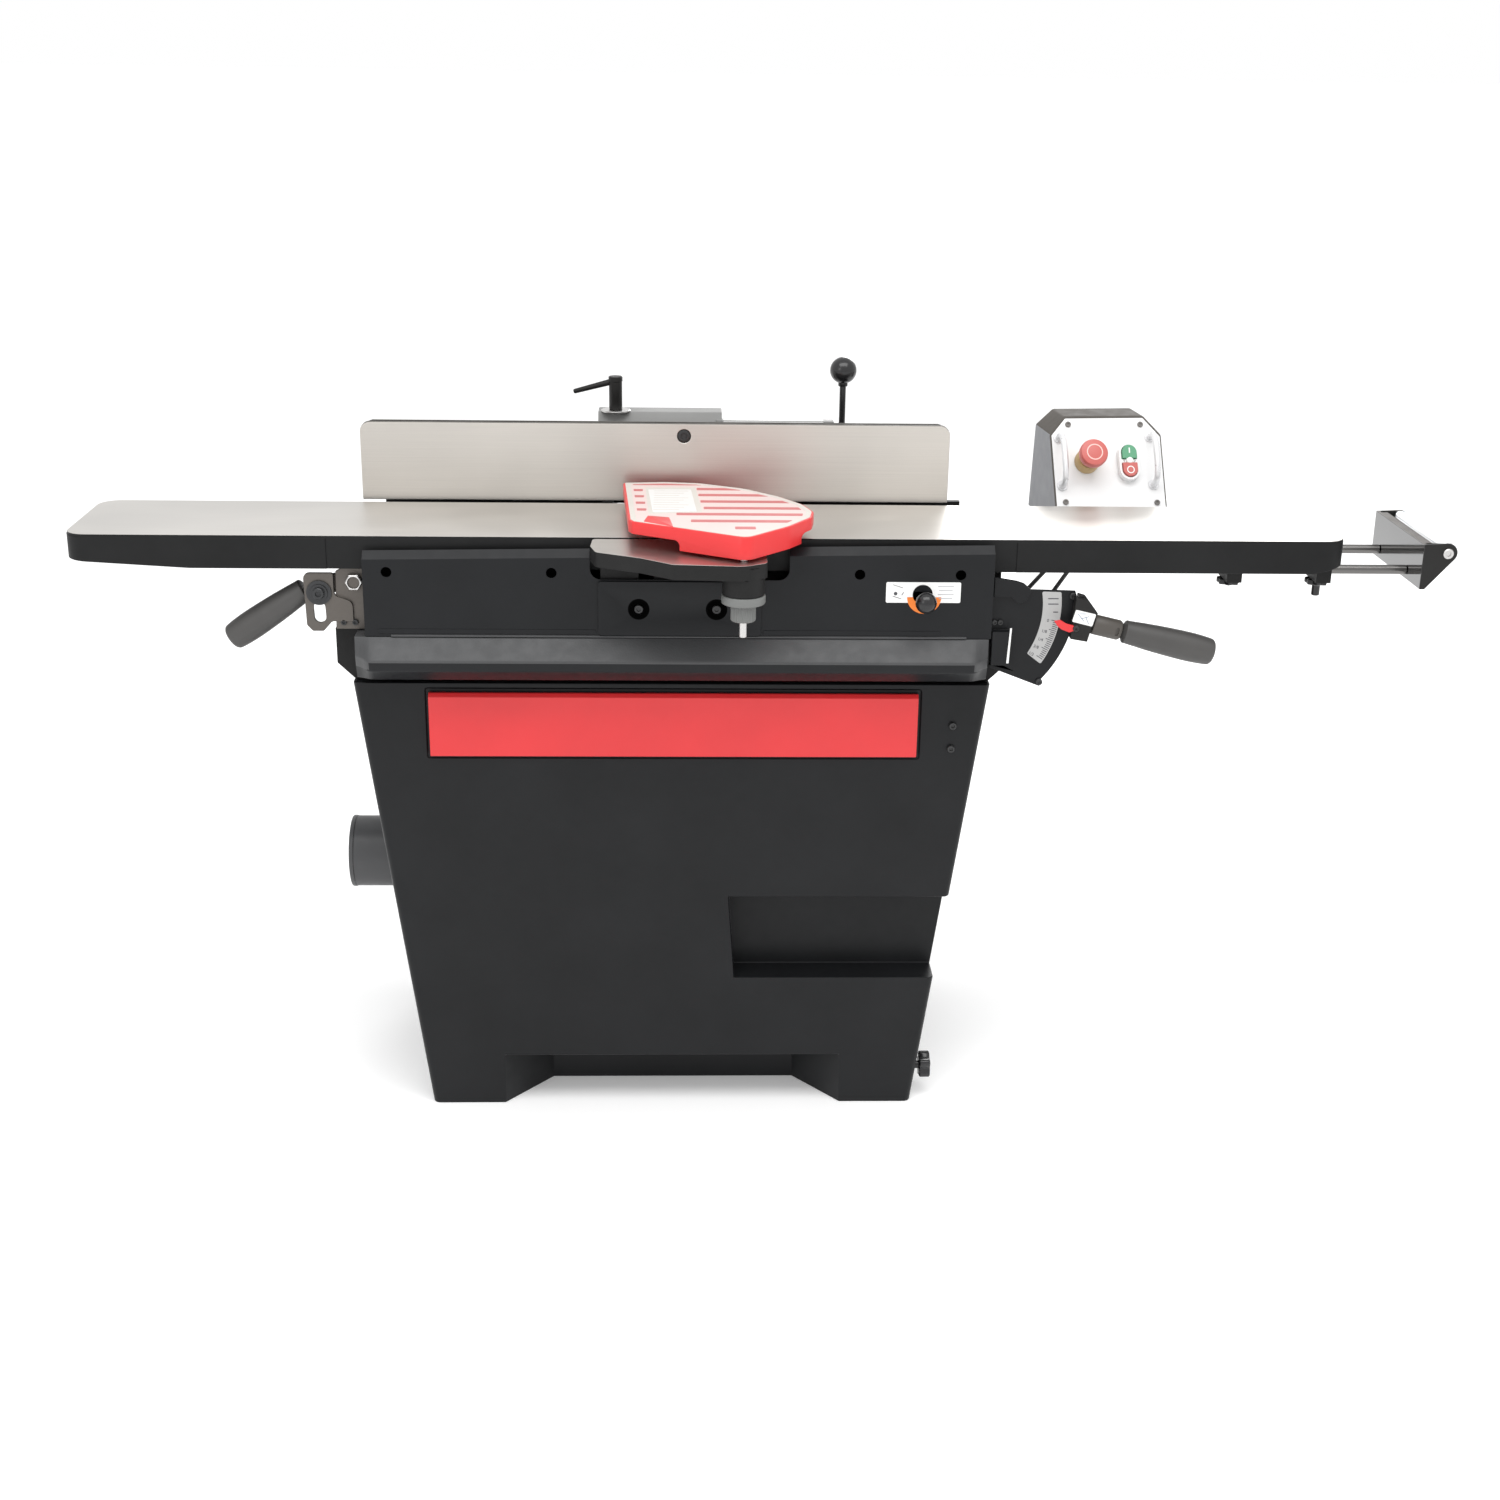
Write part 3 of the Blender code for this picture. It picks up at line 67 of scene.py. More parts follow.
class Nodes:
    """Short calls for building a material's nodes."""

    def __init__(self, name):
        self.made = bpy.data.materials.new(name)
        self.made.use_nodes = True
        self.tree = self.made.node_tree
        self.shader = self.tree.nodes["Principled BSDF"]
        self.coordinates = self.tree.nodes.new("ShaderNodeTexCoord").outputs["Object"]

    def add(self, kind, **values):
        node = self.tree.nodes.new("ShaderNode" + kind)
        for key, value in values.items():
            setattr(node, key, value)
        return node

    def link(self, out, into):
        self.tree.links.new(out, into)

    def stretched(self, scale):
        node = self.add("Mapping")
        node.inputs["Scale"].default_value = scale
        self.link(self.coordinates, node.inputs["Vector"])
        return node.outputs["Vector"]

    def noise(self, scale, detail=3.0, stretch=None, distortion=0.0):
        node = self.add("TexNoise")
        node.inputs["Scale"].default_value = scale
        node.inputs["Detail"].default_value = detail
        node.inputs["Distortion"].default_value = distortion
        self.link(self.stretched(stretch) if stretch else self.coordinates, node.inputs["Vector"])
        return node.outputs["Fac"]

    def ramp(self, source, stops):
        node = self.add("ValToRGB")
        ramp = node.color_ramp
        while len(ramp.elements) < len(stops):
            ramp.elements.new(0.5)
        for element, (place, colour) in zip(ramp.elements, stops):
            element.position = place
            element.color = (*colour, 1.0)
        self.link(source, node.inputs["Fac"])
        return node.outputs["Color"]

    def spread(self, source, low, high, start=0.3, end=0.7):
        node = self.add("MapRange")
        for socket, value in zip(("From Min", "From Max", "To Min", "To Max"), (start, end, low, high)):
            node.inputs[socket].default_value = value
        self.link(source, node.inputs["Value"])
        return node.outputs["Result"]

    def math(self, operation, a, b):
        node = self.add("Math", operation=operation)
        for socket, value in zip(node.inputs, (a, b)):
            if isinstance(value, float):
                socket.default_value = value
            else:
                self.link(value, socket)
        return node.outputs["Value"]

    def mix(self, blend, factor, a, b):
        node = self.add("Mix", data_type="RGBA", blend_type=blend)
        for socket, value in ((node.inputs[0], factor), (node.inputs[6], a), (node.inputs[7], b)):
            if isinstance(value, float):
                socket.default_value = value
            elif isinstance(value, tuple):
                socket.default_value = (*value, 1.0)
            else:
                self.link(value, socket)
        return node.outputs[2]

    def bump(self, height, strength, distance):
        node = self.add("Bump")
        node.inputs["Strength"].default_value = strength
        node.inputs["Distance"].default_value = distance
        self.link(height, node.inputs["Height"])
        self.link(node.outputs["Normal"], self.shader.inputs["Normal"])

    def put(self, socket, value):
        if isinstance(value, float):
            self.shader.inputs[socket].default_value = value
        else:
            self.link(value, self.shader.inputs[socket])


def shade(colour, factor):
    return tuple(min(1.0, c * factor) for c in colour)


def coating(
    name, colour, rough, vary=0.10, bump=0.10, grain=900.0, depth=0.00006,
    metal=0.0, patch=9.0, coat=0.0, gloss=0.5,
):
    """Paint, plastic or casting: soft tone patches, uneven gloss and a fine surface."""
    n = Nodes(name)
    n.put(
        "Base Color",
        n.ramp(n.noise(patch, 5.0), [(0.30, shade(colour, 1 - vary)), (0.70, shade(colour, 1 + vary))])
    )
    fine = n.noise(grain, 3.0)
    n.put("Roughness", n.spread(n.noise(patch * 7, 4.0), rough * 0.88, min(1.0, rough * 1.12)))
    n.put("Metallic", metal)
    n.put("Specular IOR Level", gloss)
    if coat:
        n.shader.inputs["Coat Weight"].default_value = coat
        n.shader.inputs["Coat Roughness"].default_value = 0.12
    n.bump(fine, bump, depth)
    return n.made


def ground(name, colour, rough, along=(1.5, 260.0, 260.0), cloud=0.10, marks=0.06, metal=1.0):
    """Ground metal: fine lines one way over slow, cloudy changes of tone."""
    n = Nodes(name)
    clouds = n.noise(3.2, 2.0, (1.0, 1.6, 1.0), 0.6)
    lines = n.noise(6.0, 4.0, along)
    tone = n.ramp(clouds, [(0.28, shade(colour, 1 - cloud)), (0.72, shade(colour, 1 + cloud))])
    line_tone = n.ramp(lines, [(0.35, (1 - marks,) * 3), (0.65, (1.0,) * 3)])
    n.put("Base Color", n.mix("MULTIPLY", 1.0, tone, line_tone))
    n.put(
        "Roughness",
        n.math("ADD", n.spread(clouds, rough * 0.85, rough * 1.15), n.spread(lines, -0.03, 0.03))
    )
    n.put("Metallic", metal)
    n.bump(lines, 0.10, 0.00003)
    return n.made


look = {
    "table": ground("ground_table", (0.66, 0.64, 0.61), 0.40),
    "fence": ground("ground_fence", (0.62, 0.59, 0.55), 0.42, (1.2, 200.0, 320.0)),
    "steel": ground("bright_steel", (0.62, 0.61, 0.60), 0.28, (160.0, 160.0, 160.0), 0.05, 0.04),
    "aluminium": ground("ribbed_aluminium", (0.70, 0.70, 0.70), 0.30, (160.0, 4.0, 160.0), 0.04, 0.05),
    "zinc": ground("zinc_plate", (0.115, 0.104, 0.094), 0.42, (40.0, 40.0, 40.0), 0.12, 0.05, 0.75),
    "rod": ground("dark_rod", (0.17, 0.165, 0.16), 0.28, (2.0, 160.0, 160.0), 0.06, 0.05),
    "mirror": ground("polished_plate", (0.20, 0.20, 0.20), 0.09, (60.0, 60.0, 60.0), 0.05, 0.03),
    "chrome": ground("chrome_roller", (0.42, 0.43, 0.44), 0.16, (160.0, 4.0, 160.0), 0.04, 0.06),
    "grey_cast": coating("grey_cast", (0.090, 0.084, 0.074), 0.60, 0.15, 0.45, 420.0, 0.0002, gloss=0.3),
    "carriage": coating("carriage_grey", (0.25, 0.25, 0.245), 0.50, 0.08, 0.35, 600.0, 0.0001, gloss=0.35),
    "console_side": coating(
        "console_grey", (0.240, 0.244, 0.258), 0.50, 0.06, 0.45, 700.0, 0.00012, gloss=0.3
    ),
    "console_screw": coating("console_screw_grey", (0.150, 0.140, 0.130), 0.45, 0.15, 0.15, 900.0, 0.00004),
    "adjuster_bolt": coating("adjuster_bolt", (0.035, 0.036, 0.038), 0.34, 0.15, 0.15, 900.0, 0.00004, 0.5),
    "guard_label": coating("guard_label_white", (0.70, 0.685, 0.67), 0.42, 0.02, 0.06, 900.0, 0.00003),
    "paint": coating(
        "satin_black_paint", (0.0085, 0.0090, 0.0100), 0.40, 0.16, 0.22, 1100.0, 0.00005, gloss=0.22
    ),
    "cover": coating(
        "cover_black_paint", (0.0085, 0.0092, 0.0105), 0.38, 0.14, 0.18, 1100.0, 0.00004, gloss=0.22
    ),
    "black_edge": coating(
        "table_black_paint", (0.0090, 0.0092, 0.0095), 0.50, 0.2, 0.30, 700.0, 0.00008, gloss=0.20
    ),
    "cast": coating("cast_black", (0.0110, 0.0110, 0.0110), 0.55, 0.25, 0.55, 420.0, 0.00025, gloss=0.22),
    "texture": coating(
        "grey_texture_paint", (0.0500, 0.0510, 0.0530), 0.50, 0.12, 0.80, 520.0, 0.00022, gloss=0.45
    ),
    "red": coating("red_enamel", (0.66, 0.022, 0.026), 0.36, 0.05, 0.12, 900.0, 0.00004, coat=0.10),
    "guard_red": coating("guard_red", (0.68, 0.028, 0.030), 0.34, 0.04, 0.14, 800.0, 0.00005),
    "guard_stripe": coating("guard_stripe_red", (0.50, 0.13, 0.13), 0.45, 0.06, 0.2, 800.0, 0.00005),
    "guard_pad": coating("guard_pad_white", (0.66, 0.53, 0.505), 0.48, 0.04, 0.2, 800.0, 0.00005),
    "guard_edge": coating("guard_edge_white", (0.58, 0.545, 0.50), 0.45, 0.03, 0.2, 800.0, 0.00005),
    "label": coating("label_white", (0.84, 0.84, 0.83), 0.40, 0.02, 0.06, 900.0, 0.00003),
    "label_grey": coating("label_grey", (0.40, 0.40, 0.395), 0.42, 0.03, 0.06, 900.0, 0.00003),
    "ink": coating("label_ink", (0.06, 0.06, 0.07), 0.5, 0.08),
    "ink_light": coating("label_faint_ink", (0.42, 0.42, 0.44), 0.5, 0.05),
    "ink_blue": coating("label_blue_ink", (0.10, 0.16, 0.28), 0.5, 0.08),
    "orange": coating("orange_label", (0.80, 0.20, 0.02), 0.42, 0.05, 0.06),
    "grip": coating("grip_plastic", (0.056, 0.054, 0.052), 0.50, 0.10, 0.45, 1300.0, 0.00006),
    "ferrule": coating("ferrule_brown", (0.070, 0.062, 0.054), 0.48, 0.12, 0.20, 900.0, 0.00005),
    "black": coating("black_plastic", (0.012, 0.012, 0.013), 0.22, 0.10, 0.05, 900.0, 0.00003),
    # Near-black matt finish with no gloss: painted shade for the insides of holes and recesses.
    "dark": coating("painted_recess_shade", (0.002, 0.002, 0.002), 0.80, 0.2, gloss=0.0),
    "screw": coating("blackened_screw", (0.045, 0.045, 0.046), 0.34, 0.15, 0.15, 900.0, 0.00004, 0.6),
    "cap": coating("grey_cap_plastic", (0.160, 0.165, 0.160), 0.48, 0.05, 0.20, 900.0, 0.00005),
    "console_top": coating(
        "console_brown_grey", (0.100, 0.092, 0.084), 0.72, 0.08, 0.45, 700.0, 0.00012, gloss=0.15
    ),
    "console_white": coating("console_white", (0.80, 0.80, 0.80), 0.34, 0.02, 0.05, 900.0, 0.00003),
    "silver": coating("handle_silver", (0.72, 0.72, 0.73), 0.30, 0.03, 0.06, 900.0, 0.00003, 0.35),
    "yellow": coating("yellow_brown_plastic", (0.45, 0.31, 0.14), 0.45, 0.06, 0.1),
    "red_plastic": coating("button_red", (0.50, 0.115, 0.100), 0.36, 0.05, 0.1),
    "red_dark": coating("button_red_dark", (0.42, 0.07, 0.06), 0.45, 0.05, 0.1),
    "ring": coating("button_ring", (0.80, 0.50, 0.46), 0.40, 0.05, 0.1),
    "green": coating("button_green", (0.085, 0.30, 0.165), 0.34, 0.05, 0.1),
    "lamp": coating("lamp_white", (0.78, 0.80, 0.78), 0.28, 0.03, 0.06),
    "rubber": coating("drive_rubber", (0.014, 0.014, 0.014), 0.75, 0.2, 0.5, 500.0, 0.0002),
    "motor": coating("motor_paint", (0.045, 0.050, 0.055), 0.42, 0.10, 0.3, 600.0, 0.0001),
    "chute": coating("chute_paint", (0.05, 0.052, 0.054), 0.45, 0.10, 0.3, 600.0, 0.0001),
    "port": coating("port_plastic", (0.058, 0.059, 0.062), 0.42, 0.10, 0.35, 700.0, 0.0001),
    "frame": coating("frame_paint", (0.0105, 0.0100, 0.0095), 0.44, 0.14, 0.22, 900.0, 0.00006, gloss=0.3),
}

# ---------------------------------------------------------------- shapes


def finished(bm, matrix=None):
    if matrix is not None:
        bmesh.ops.transform(bm, matrix=matrix, verts=bm.verts[:])
    bmesh.ops.recalc_face_normals(bm, faces=bm.faces[:])
    return bm


def block(low, high, matrix=None):
    return prism(
        [(low[0], low[1]), (high[0], low[1]), (high[0], high[1]), (low[0], high[1])], "z", low[2], high[2],
        matrix
    )


def tube_of_rings(rings, matrix=None, capped=True):
    """Solid through rings of points of the same length."""
    bm = bmesh.new()
    rows = [[bm.verts.new(point) for point in ring] for ring in rings]
    count = len(rows[0])
    for a, b in zip(rows, rows[1:]):
        for i in range(count):
            j = (i + 1) % count
            bm.faces.new((a[i], a[j], b[j], b[i]))
    if capped:
        bm.faces.new(rows[0])
        bm.faces.new(rows[-1])
    return finished(bm, matrix)


def prism(profile, axis, low, high, matrix=None):
    """A profile swept along an axis. The profile gives the other two coordinates in x, y, z order."""
    place = {
        "x": lambda a, b, level: (level, a, b),
        "y": lambda a, b, level: (a, level, b),
        "z": lambda a, b, level: (a, b, level),
    }[axis]
    return tube_of_rings([[place(a, b, level) for a, b in profile] for level in (low, high)], matrix)


def circle(centre, radius, sides=32, start=0.0):
    turn = 2 * math.pi / sides
    return [
        (centre[0] + radius * math.cos(start + turn * i), centre[1] + radius * math.sin(start + turn * i))
        for i in range(sides)
    ]


def arc(centre, radius, first, last, steps):
    angles = [math.radians(first + (last - first) * i / steps) for i in range(steps + 1)]
    return [(centre[0] + radius * math.cos(a), centre[1] + radius * math.sin(a)) for a in angles]


def capsule(a, b, radius_a, radius_b=None, steps=12):
    """Outline around two circles."""
    radius_b = radius_a if radius_b is None else radius_b
    angle = math.degrees(math.atan2(b[1] - a[1], b[0] - a[0]))
    open_by = math.degrees(math.asin((radius_a - radius_b) / math.hypot(b[0] - a[0], b[1] - a[1])))
    return arc(a, radius_a, angle + 90 - open_by, angle + 270 + open_by, steps) + arc(
        b, radius_b, angle - 90 + open_by, angle + 90 - open_by, steps
    )


def rounded(points, radius, steps=6):
    """A polygon with its corners rounded; radius is one number or one for each corner."""
    out = []
    count = len(points)
    for i, point in enumerate(points):
        size = radius if isinstance(radius, float) else radius[i]
        here = Vector(point)
        if size <= 0:
            out.append(tuple(here))
            continue
        before = (Vector(points[i - 1]) - here).normalized()
        after = (Vector(points[(i + 1) % count]) - here).normalized()
        half = before.angle(after) / 2
        centre = here + (before + after).normalized() * (size / math.sin(half))
        start = here + before * (size / math.tan(half)) - centre
        end = here + after * (size / math.tan(half)) - centre
        first = math.atan2(start.y, start.x)
        turn = start.angle_signed(end)
        for k in range(steps + 1):
            angle = first - turn * k / steps
            out.append((centre.x + size * math.cos(angle), centre.y + size * math.sin(angle)))
    return out


def rectangle(low, high, radius=0.0, steps=6):
    corners = [(low[0], low[1]), (high[0], low[1]), (high[0], high[1]), (low[0], high[1])]
    return rounded(corners, radius, steps) if radius > 0 else corners


def inset(points, by):
    """A closed outline drawn in by a distance, corner by corner."""
    area = sum(a[0] * b[1] - b[0] * a[1] for a, b in zip(points, points[1:] + points[:1]))
    sign = 1 if area > 0 else -1
    out = []
    for i, point in enumerate(points):
        before = (Vector(point) - Vector(points[i - 1])).normalized()
        after = (Vector(points[(i + 1) % len(points)]) - Vector(point)).normalized()
        normals = [Vector((-d.y, d.x)) * sign for d in (before, after)]
        middle = (normals[0] + normals[1]).normalized()
        out.append(tuple(Vector(point) + middle * (by / max(0.3, middle.dot(normals[0])))))
    return out


def along(direction):
    return Vector((0, 0, 1)).rotation_difference(Vector(direction).normalized()).to_matrix().to_4x4()


def lathe(profile, base, direction, sides=40, ring=False):
    """A profile of (radius, height) turned about a direction; a ring's profile closes on itself."""
    bm = bmesh.new()
    rows = []
    for radius, height in profile:
        if radius <= 0:
            rows.append([bm.verts.new((0, 0, height))])
        else:
            rows.append([bm.verts.new((x, y, height)) for x, y in circle((0, 0), radius, sides)])
    pairs = list(zip(rows, rows[1:])) + ([(rows[-1], rows[0])] if ring else [])
    for a, b in pairs:
        for i in range(sides):
            j = (i + 1) % sides
            if len(a) == 1:
                bm.faces.new((a[0], b[i], b[j]))
            elif len(b) == 1:
                bm.faces.new((a[i], a[j], b[0]))
            else:
                bm.faces.new((a[i], a[j], b[j], b[i]))
    if not ring:
        for row in (rows[0], rows[-1]):
            if len(row) > 1:
                bm.faces.new(row)
    return finished(bm, Matrix.Translation(base) @ along(direction))


def rod(a, b, radius, sides=32, chamfer=0.0):
    span = Vector(b) - Vector(a)
    if not chamfer:
        return lathe([(radius, 0.0), (radius, span.length)], a, span, sides)
    small, far = radius - chamfer, span.length
    return lathe([(small, 0.0), (radius, chamfer), (radius, far - chamfer), (small, far)], a, span, sides)


def smooth_path(points, steps=6):
    """Points of a smooth curve through the given ones."""
    points = [Vector(p) for p in points]
    out = []
    for i in range(len(points) - 1):
        before = points[max(i - 1, 0)]
        a, b = points[i], points[i + 1]
        after = points[min(i + 2, len(points) - 1)]
        for k in range(steps):
            t = k / steps
            out.append(
                0.5 * ((2 * a) + (b - before) * t + (2 * before - 5 * a + 4 * b - after) * t * t
                       + (3 * a - before - 3 * b + after) * t * t * t)
            )
    return out + [points[-1]]


def tube_path(points, radius, sides=20):
    """A round bar bent through the points; radius is one number or a function of the way along."""
    size = radius if callable(radius) else lambda t: radius
    side = (points[1] - points[0]).orthogonal().normalized()
    rings = []
    for i, point in enumerate(points):
        before = (point - points[i - 1]).normalized() if i else (points[1] - point).normalized()
        after = (points[i + 1] - point).normalized() if i + 1 < len(points) else before
        way = (before + after).normalized()
        side = (side - way * side.dot(way)).normalized()
        other = way.cross(side)
        r = size(i / (len(points) - 1))
        angles = [2 * math.pi * k / sides for k in range(sides)]
        rings.append([point + side * (r * math.cos(t)) + other * (r * math.sin(t)) for t in angles])
    return tube_of_rings(rings)


def merged(shapes):
    """Several separate shapes in one mesh."""
    out = bmesh.new()
    for shape in shapes:
        mesh = bpy.data.meshes.new("merge")
        shape.to_mesh(mesh)
        shape.free()
        out.from_mesh(mesh)
        bpy.data.meshes.remove(mesh)
    return out


def combine(base, steps):
    """Cuts and joins shapes, one after the other, and returns the resulting shape."""
    objects = []
    for shape in [base] + [tool for _, tool in steps]:
        mesh = bpy.data.meshes.new("step")
        shape.to_mesh(mesh)
        shape.free()
        made = bpy.data.objects.new("step", mesh)
        bpy.context.scene.collection.objects.link(made)
        objects.append(made)
    for tool, (operation, _) in zip(objects[1:], steps):
        step = objects[0].modifiers.new("step", "BOOLEAN")
        step.operation = operation
        step.solver = "EXACT"
        step.object = tool
    graph = bpy.context.evaluated_depsgraph_get()
    result = bmesh.new()
    result.from_object(objects[0], graph)
    for made in objects:
        mesh = made.data
        bpy.data.objects.remove(made)
        bpy.data.meshes.remove(mesh)
    bmesh.ops.remove_doubles(result, verts=result.verts[:], dist=1e-6)
    bmesh.ops.dissolve_degenerate(result, edges=result.edges[:], dist=1e-6)
    bmesh.ops.dissolve_limit(
        result, angle_limit=math.radians(0.3), verts=result.verts[:], edges=result.edges[:], delimit=set()
    )
    return result


def less(base, *tools):
    return combine(base, [("DIFFERENCE", tool) for tool in tools])


def plus(base, *tools):
    return combine(base, [("UNION", tool) for tool in tools])


def piece(
    name, shape, finish, body="stand", hides=(), bevel=0.0, segments=2, pick=None, angle=32.0
):
    """Makes one visible piece. pick gives each face the number of its finish, from its normal and middle."""
    mesh = bpy.data.meshes.new(name)
    if isinstance(shape, list):
        shape = merged(shape)
    for face in shape.faces:
        face.smooth = True
        if pick:
            face.material_index = pick(face.normal, face.calc_center_median())
    shape.to_mesh(mesh)
    shape.free()
    mesh.transform(SHIFT)
    for one in finish if isinstance(finish, tuple) else (finish,):
        mesh.materials.append(look[one])
    made = bpy.data.objects.new(name, mesh)
    bpy.context.scene.collection.objects.link(made)
    if bevel:
        step = made.modifiers.new("edges", "BEVEL")
        step.width = bevel
        step.segments = segments
        step.limit_method = "ANGLE"
        step.angle_limit = math.radians(angle)
        step.use_clamp_overlap = False
        step.harden_normals = True
    else:
        mesh.set_sharp_from_angle(angle=math.radians(angle))
    bpy.context.view_layer.update()
    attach(made, body)
    if hides:
        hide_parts(*hides)
    return made


def socket_screw(at, direction, radius, height, sides=24):
    """A cap screw's head with its socket."""
    inner = radius * 0.5
    profile = [
        (radius, 0.0), (radius, height * 0.8), (radius * 0.88, height), (inner, height),
        (inner * 0.94, height * 0.45)
    ]
    return lathe(profile + [(0.0, height * 0.40)], at, direction, sides)


def lettering(text, size, matrix, thick=0.0001):
    """Raised figures, centred on the matrix's origin."""
    curve = bpy.data.curves.new("figures", "FONT")
    curve.body = text
    curve.size = size
    curve.extrude = thick
    curve.resolution_u = 2
    curve.align_x = "CENTER"
    curve.align_y = "CENTER"
    made = bpy.data.objects.new("figures", curve)
    bpy.context.scene.collection.objects.link(made)
    graph = bpy.context.evaluated_depsgraph_get()
    mesh = bpy.data.meshes.new_from_object(made.evaluated_get(graph))
    out = bmesh.new()
    out.from_mesh(mesh)
    bpy.data.objects.remove(made)
    bpy.data.curves.remove(curve)
    bpy.data.meshes.remove(mesh)
    bmesh.ops.transform(out, matrix=matrix, verts=out.verts[:])
    bmesh.ops.remove_doubles(out, verts=out.verts[:], dist=1e-7)
    return out


# Planes that face the operator: local x to the right, local y up, local z out of the surface
def facing(x, y, z, turn=0.0):
    upright = Matrix.Rotation(math.radians(90), 4, "X")
    return Matrix.Translation((x, y, z)) @ upright @ Matrix.Rotation(math.radians(turn), 4, "Z")


# ---------------------------------------------------------------- cabinet


def cabinet_ring(z, draw=0.0, radius=0.009):
    half = CABINET_HALF[0] + (CABINET_HALF[1] - CABINET_HALF[0]) * z / CABINET_TOP - draw
    return [(x, y, z) for x, y in rectangle((-half, 0.0155 + draw), (half, 0.4245 - draw), radius, 6)]


POCKET = ((0.086, 0.198), (0.0766, 0.3225))
TOE = ((-0.253, 0.0), (0.253, 0.0), (0.175, 0.0925), (-0.175, 0.0925))


def pocket_shape(grow):
    low, high = POCKET[0][1] - grow, POCKET[1][1] + grow
    outline = [(POCKET[0][0] - grow, low), (0.5, low), (0.5, high), (POCKET[1][0] - grow, high)]
    return prism(outline, "y", 0.0, 0.0655 + grow)


def toe_shape(grow):
    outline = [(x + math.copysign(grow, x), y + (grow if y > 0 else 0.0)) for x, y in TOE]
    return prism(outline, "z", -0.01, 0.0764 + grow)


hollow = less(
    tube_of_rings([cabinet_ring(0.003, 0.003), cabinet_ring(0.631, 0.003)]), pocket_shape(0.003),
    toe_shape(0.003)
)
cabinet = less(
    tube_of_rings([cabinet_ring(0.0), cabinet_ring(CABINET_TOP)]),
    hollow,
    pocket_shape(0.0),
    toe_shape(0.0),
    block((-0.130, 0.044, 0.600), (0.130, 0.270, 0.700)),
    block((-0.200, 0.410, 0.110), (0.200, 0.440, 0.550)),
    rod((-0.45, 0.220, 0.308), (-0.30, 0.220, 0.308), 0.0475),
    prism(rectangle((-0.3315, 0.5275), (0.3345, 0.6265), 0.003, 3), "y", 0.0, 0.0168),
)
piece("cabinet_shell", cabinet, "paint", hides=("cabinet",), bevel=0.0016, segments=3)

rear = prism(rectangle((-0.215, 0.095), (0.215, 0.565), 0.012), "y", 0.4248, 0.4270)
rear = less(
    rear,
    *[
        prism(rectangle((-0.088, z), (0.088, z + 0.006), 0.002, 3), "y", 0.40, 0.45)
        for z in [0.42 + 0.016 * i for i in range(6)]
    ]
)
piece("rear_panel", rear, "paint", hides=("cabinet_rear_panel",), bevel=0.0005)
corners = [(x, z) for x in (-0.200, 0.200) for z in (0.110, 0.550)] + [(x, 0.330) for x in (-0.200, 0.200)]
piece(
    "rear_panel_screws", [socket_screw((x, 0.4270, z), (0, 1, 0), 0.0055, 0.0025) for x, z in corners],
    "screw"
)

accent = prism(
    [
        (0.0152, 0.5325), (0.0078, 0.5325), (0.0065, 0.553), (0.0065, 0.6165), (0.0105, 0.6215),
        (0.0152, 0.6215)
    ],
    "x",
    -0.327,
    0.330,
)
piece(
    "accent_panel_face", accent, "red", hides=("accent_panel",), bevel=0.0008, segments=2,
    angle=14
)
bolts = [
    socket_screw((x, 0.0155, z), (0, -1, 0), 0.0052, 0.0048) for x, z in ((0.3786, 0.576), (0.3775, 0.543))
]
piece("cabinet_bolts", bolts, "screw", bevel=0.0003)

tilt = Matrix.Translation((-0.3849, 0.220, 0.308)) @ Matrix.Rotation(-math.atan(0.0845 / 0.634), 4, "Y")
flange = prism(rectangle((-0.070, -0.070), (0.070, 0.070), 0.012), "x", -0.0045, -0.0001, tilt)
tube = lathe(
    [
        (0.0500, 0.0), (0.0520, 0.0), (0.0520, 0.0830), (0.0528, 0.0838), (0.0528, 0.0885),
        (0.0520, 0.0898), (0.0500, 0.0898)
    ],
    (-0.3826, 0.220, 0.308),
    (-1, 0, 0),
    48,
    True,
)
inner = prism(
    [(-0.3845, 0.308), (-0.3965, 0.398), (-0.30, 0.398), (-0.30, 0.218), (-0.3725, 0.218)], "y", 0.10, 0.34
)
port = combine(
    flange,
    [
        ("UNION", tube), ("DIFFERENCE", rod((-0.30, 0.220, 0.308), (-0.50, 0.220, 0.308), 0.0499, 48)),
        ("DIFFERENCE", inner)
    ]
)
piece("dust_port_tube", port, "port", hides=("dust_port",), bevel=0.0006)
port_screws = [
    socket_screw(tilt @ Vector((-0.0045, y, z)), tilt.to_3x3() @ Vector((-1, 0, 0)), 0.0048, 0.0026)
    for y in (-0.058, 0.058)
    for z in (-0.058, 0.058)
]
piece("dust_port_screws", port_screws, "screw")

# ---------------------------------------------------------------- base and front cover

outline = [(-0.425, 0.6343), (0.425, 0.6343), (0.4485, 0.657), (0.4485, 0.706), (0.436, 0.706)]
outline += [(0.436, 0.790), (-0.436, 0.790), (-0.436, 0.706), (-0.4485, 0.706), (-0.4485, 0.657)]
base_steps = [
    ("UNION", block((-0.066, 0.030, 0.6343), (0.066, 0.200, 0.765))),
    ("UNION", block((-0.100, -0.016, 0.712), (0.115, 0.045, 0.765))),
]
for low, high in ((-0.424, -0.072), (0.1165, 0.424)):
    base_steps.append(("DIFFERENCE", block((low, 0.042, 0.660), (high, 0.153, 0.85))))
base_steps += [
    ("DIFFERENCE", block((-0.13, -0.03, 0.7650), (0.121, 0.25, 0.85))),
    ("DIFFERENCE", block((-0.47, 0.0, 0.7200), (-0.40, 0.153, 0.85))),
    ("DIFFERENCE", block((0.40, 0.042, 0.7200), (0.47, 0.153, 0.85))),
    ("DIFFERENCE", block((-0.052, 0.043, 0.60), (0.052, 0.157, 0.80))),
]
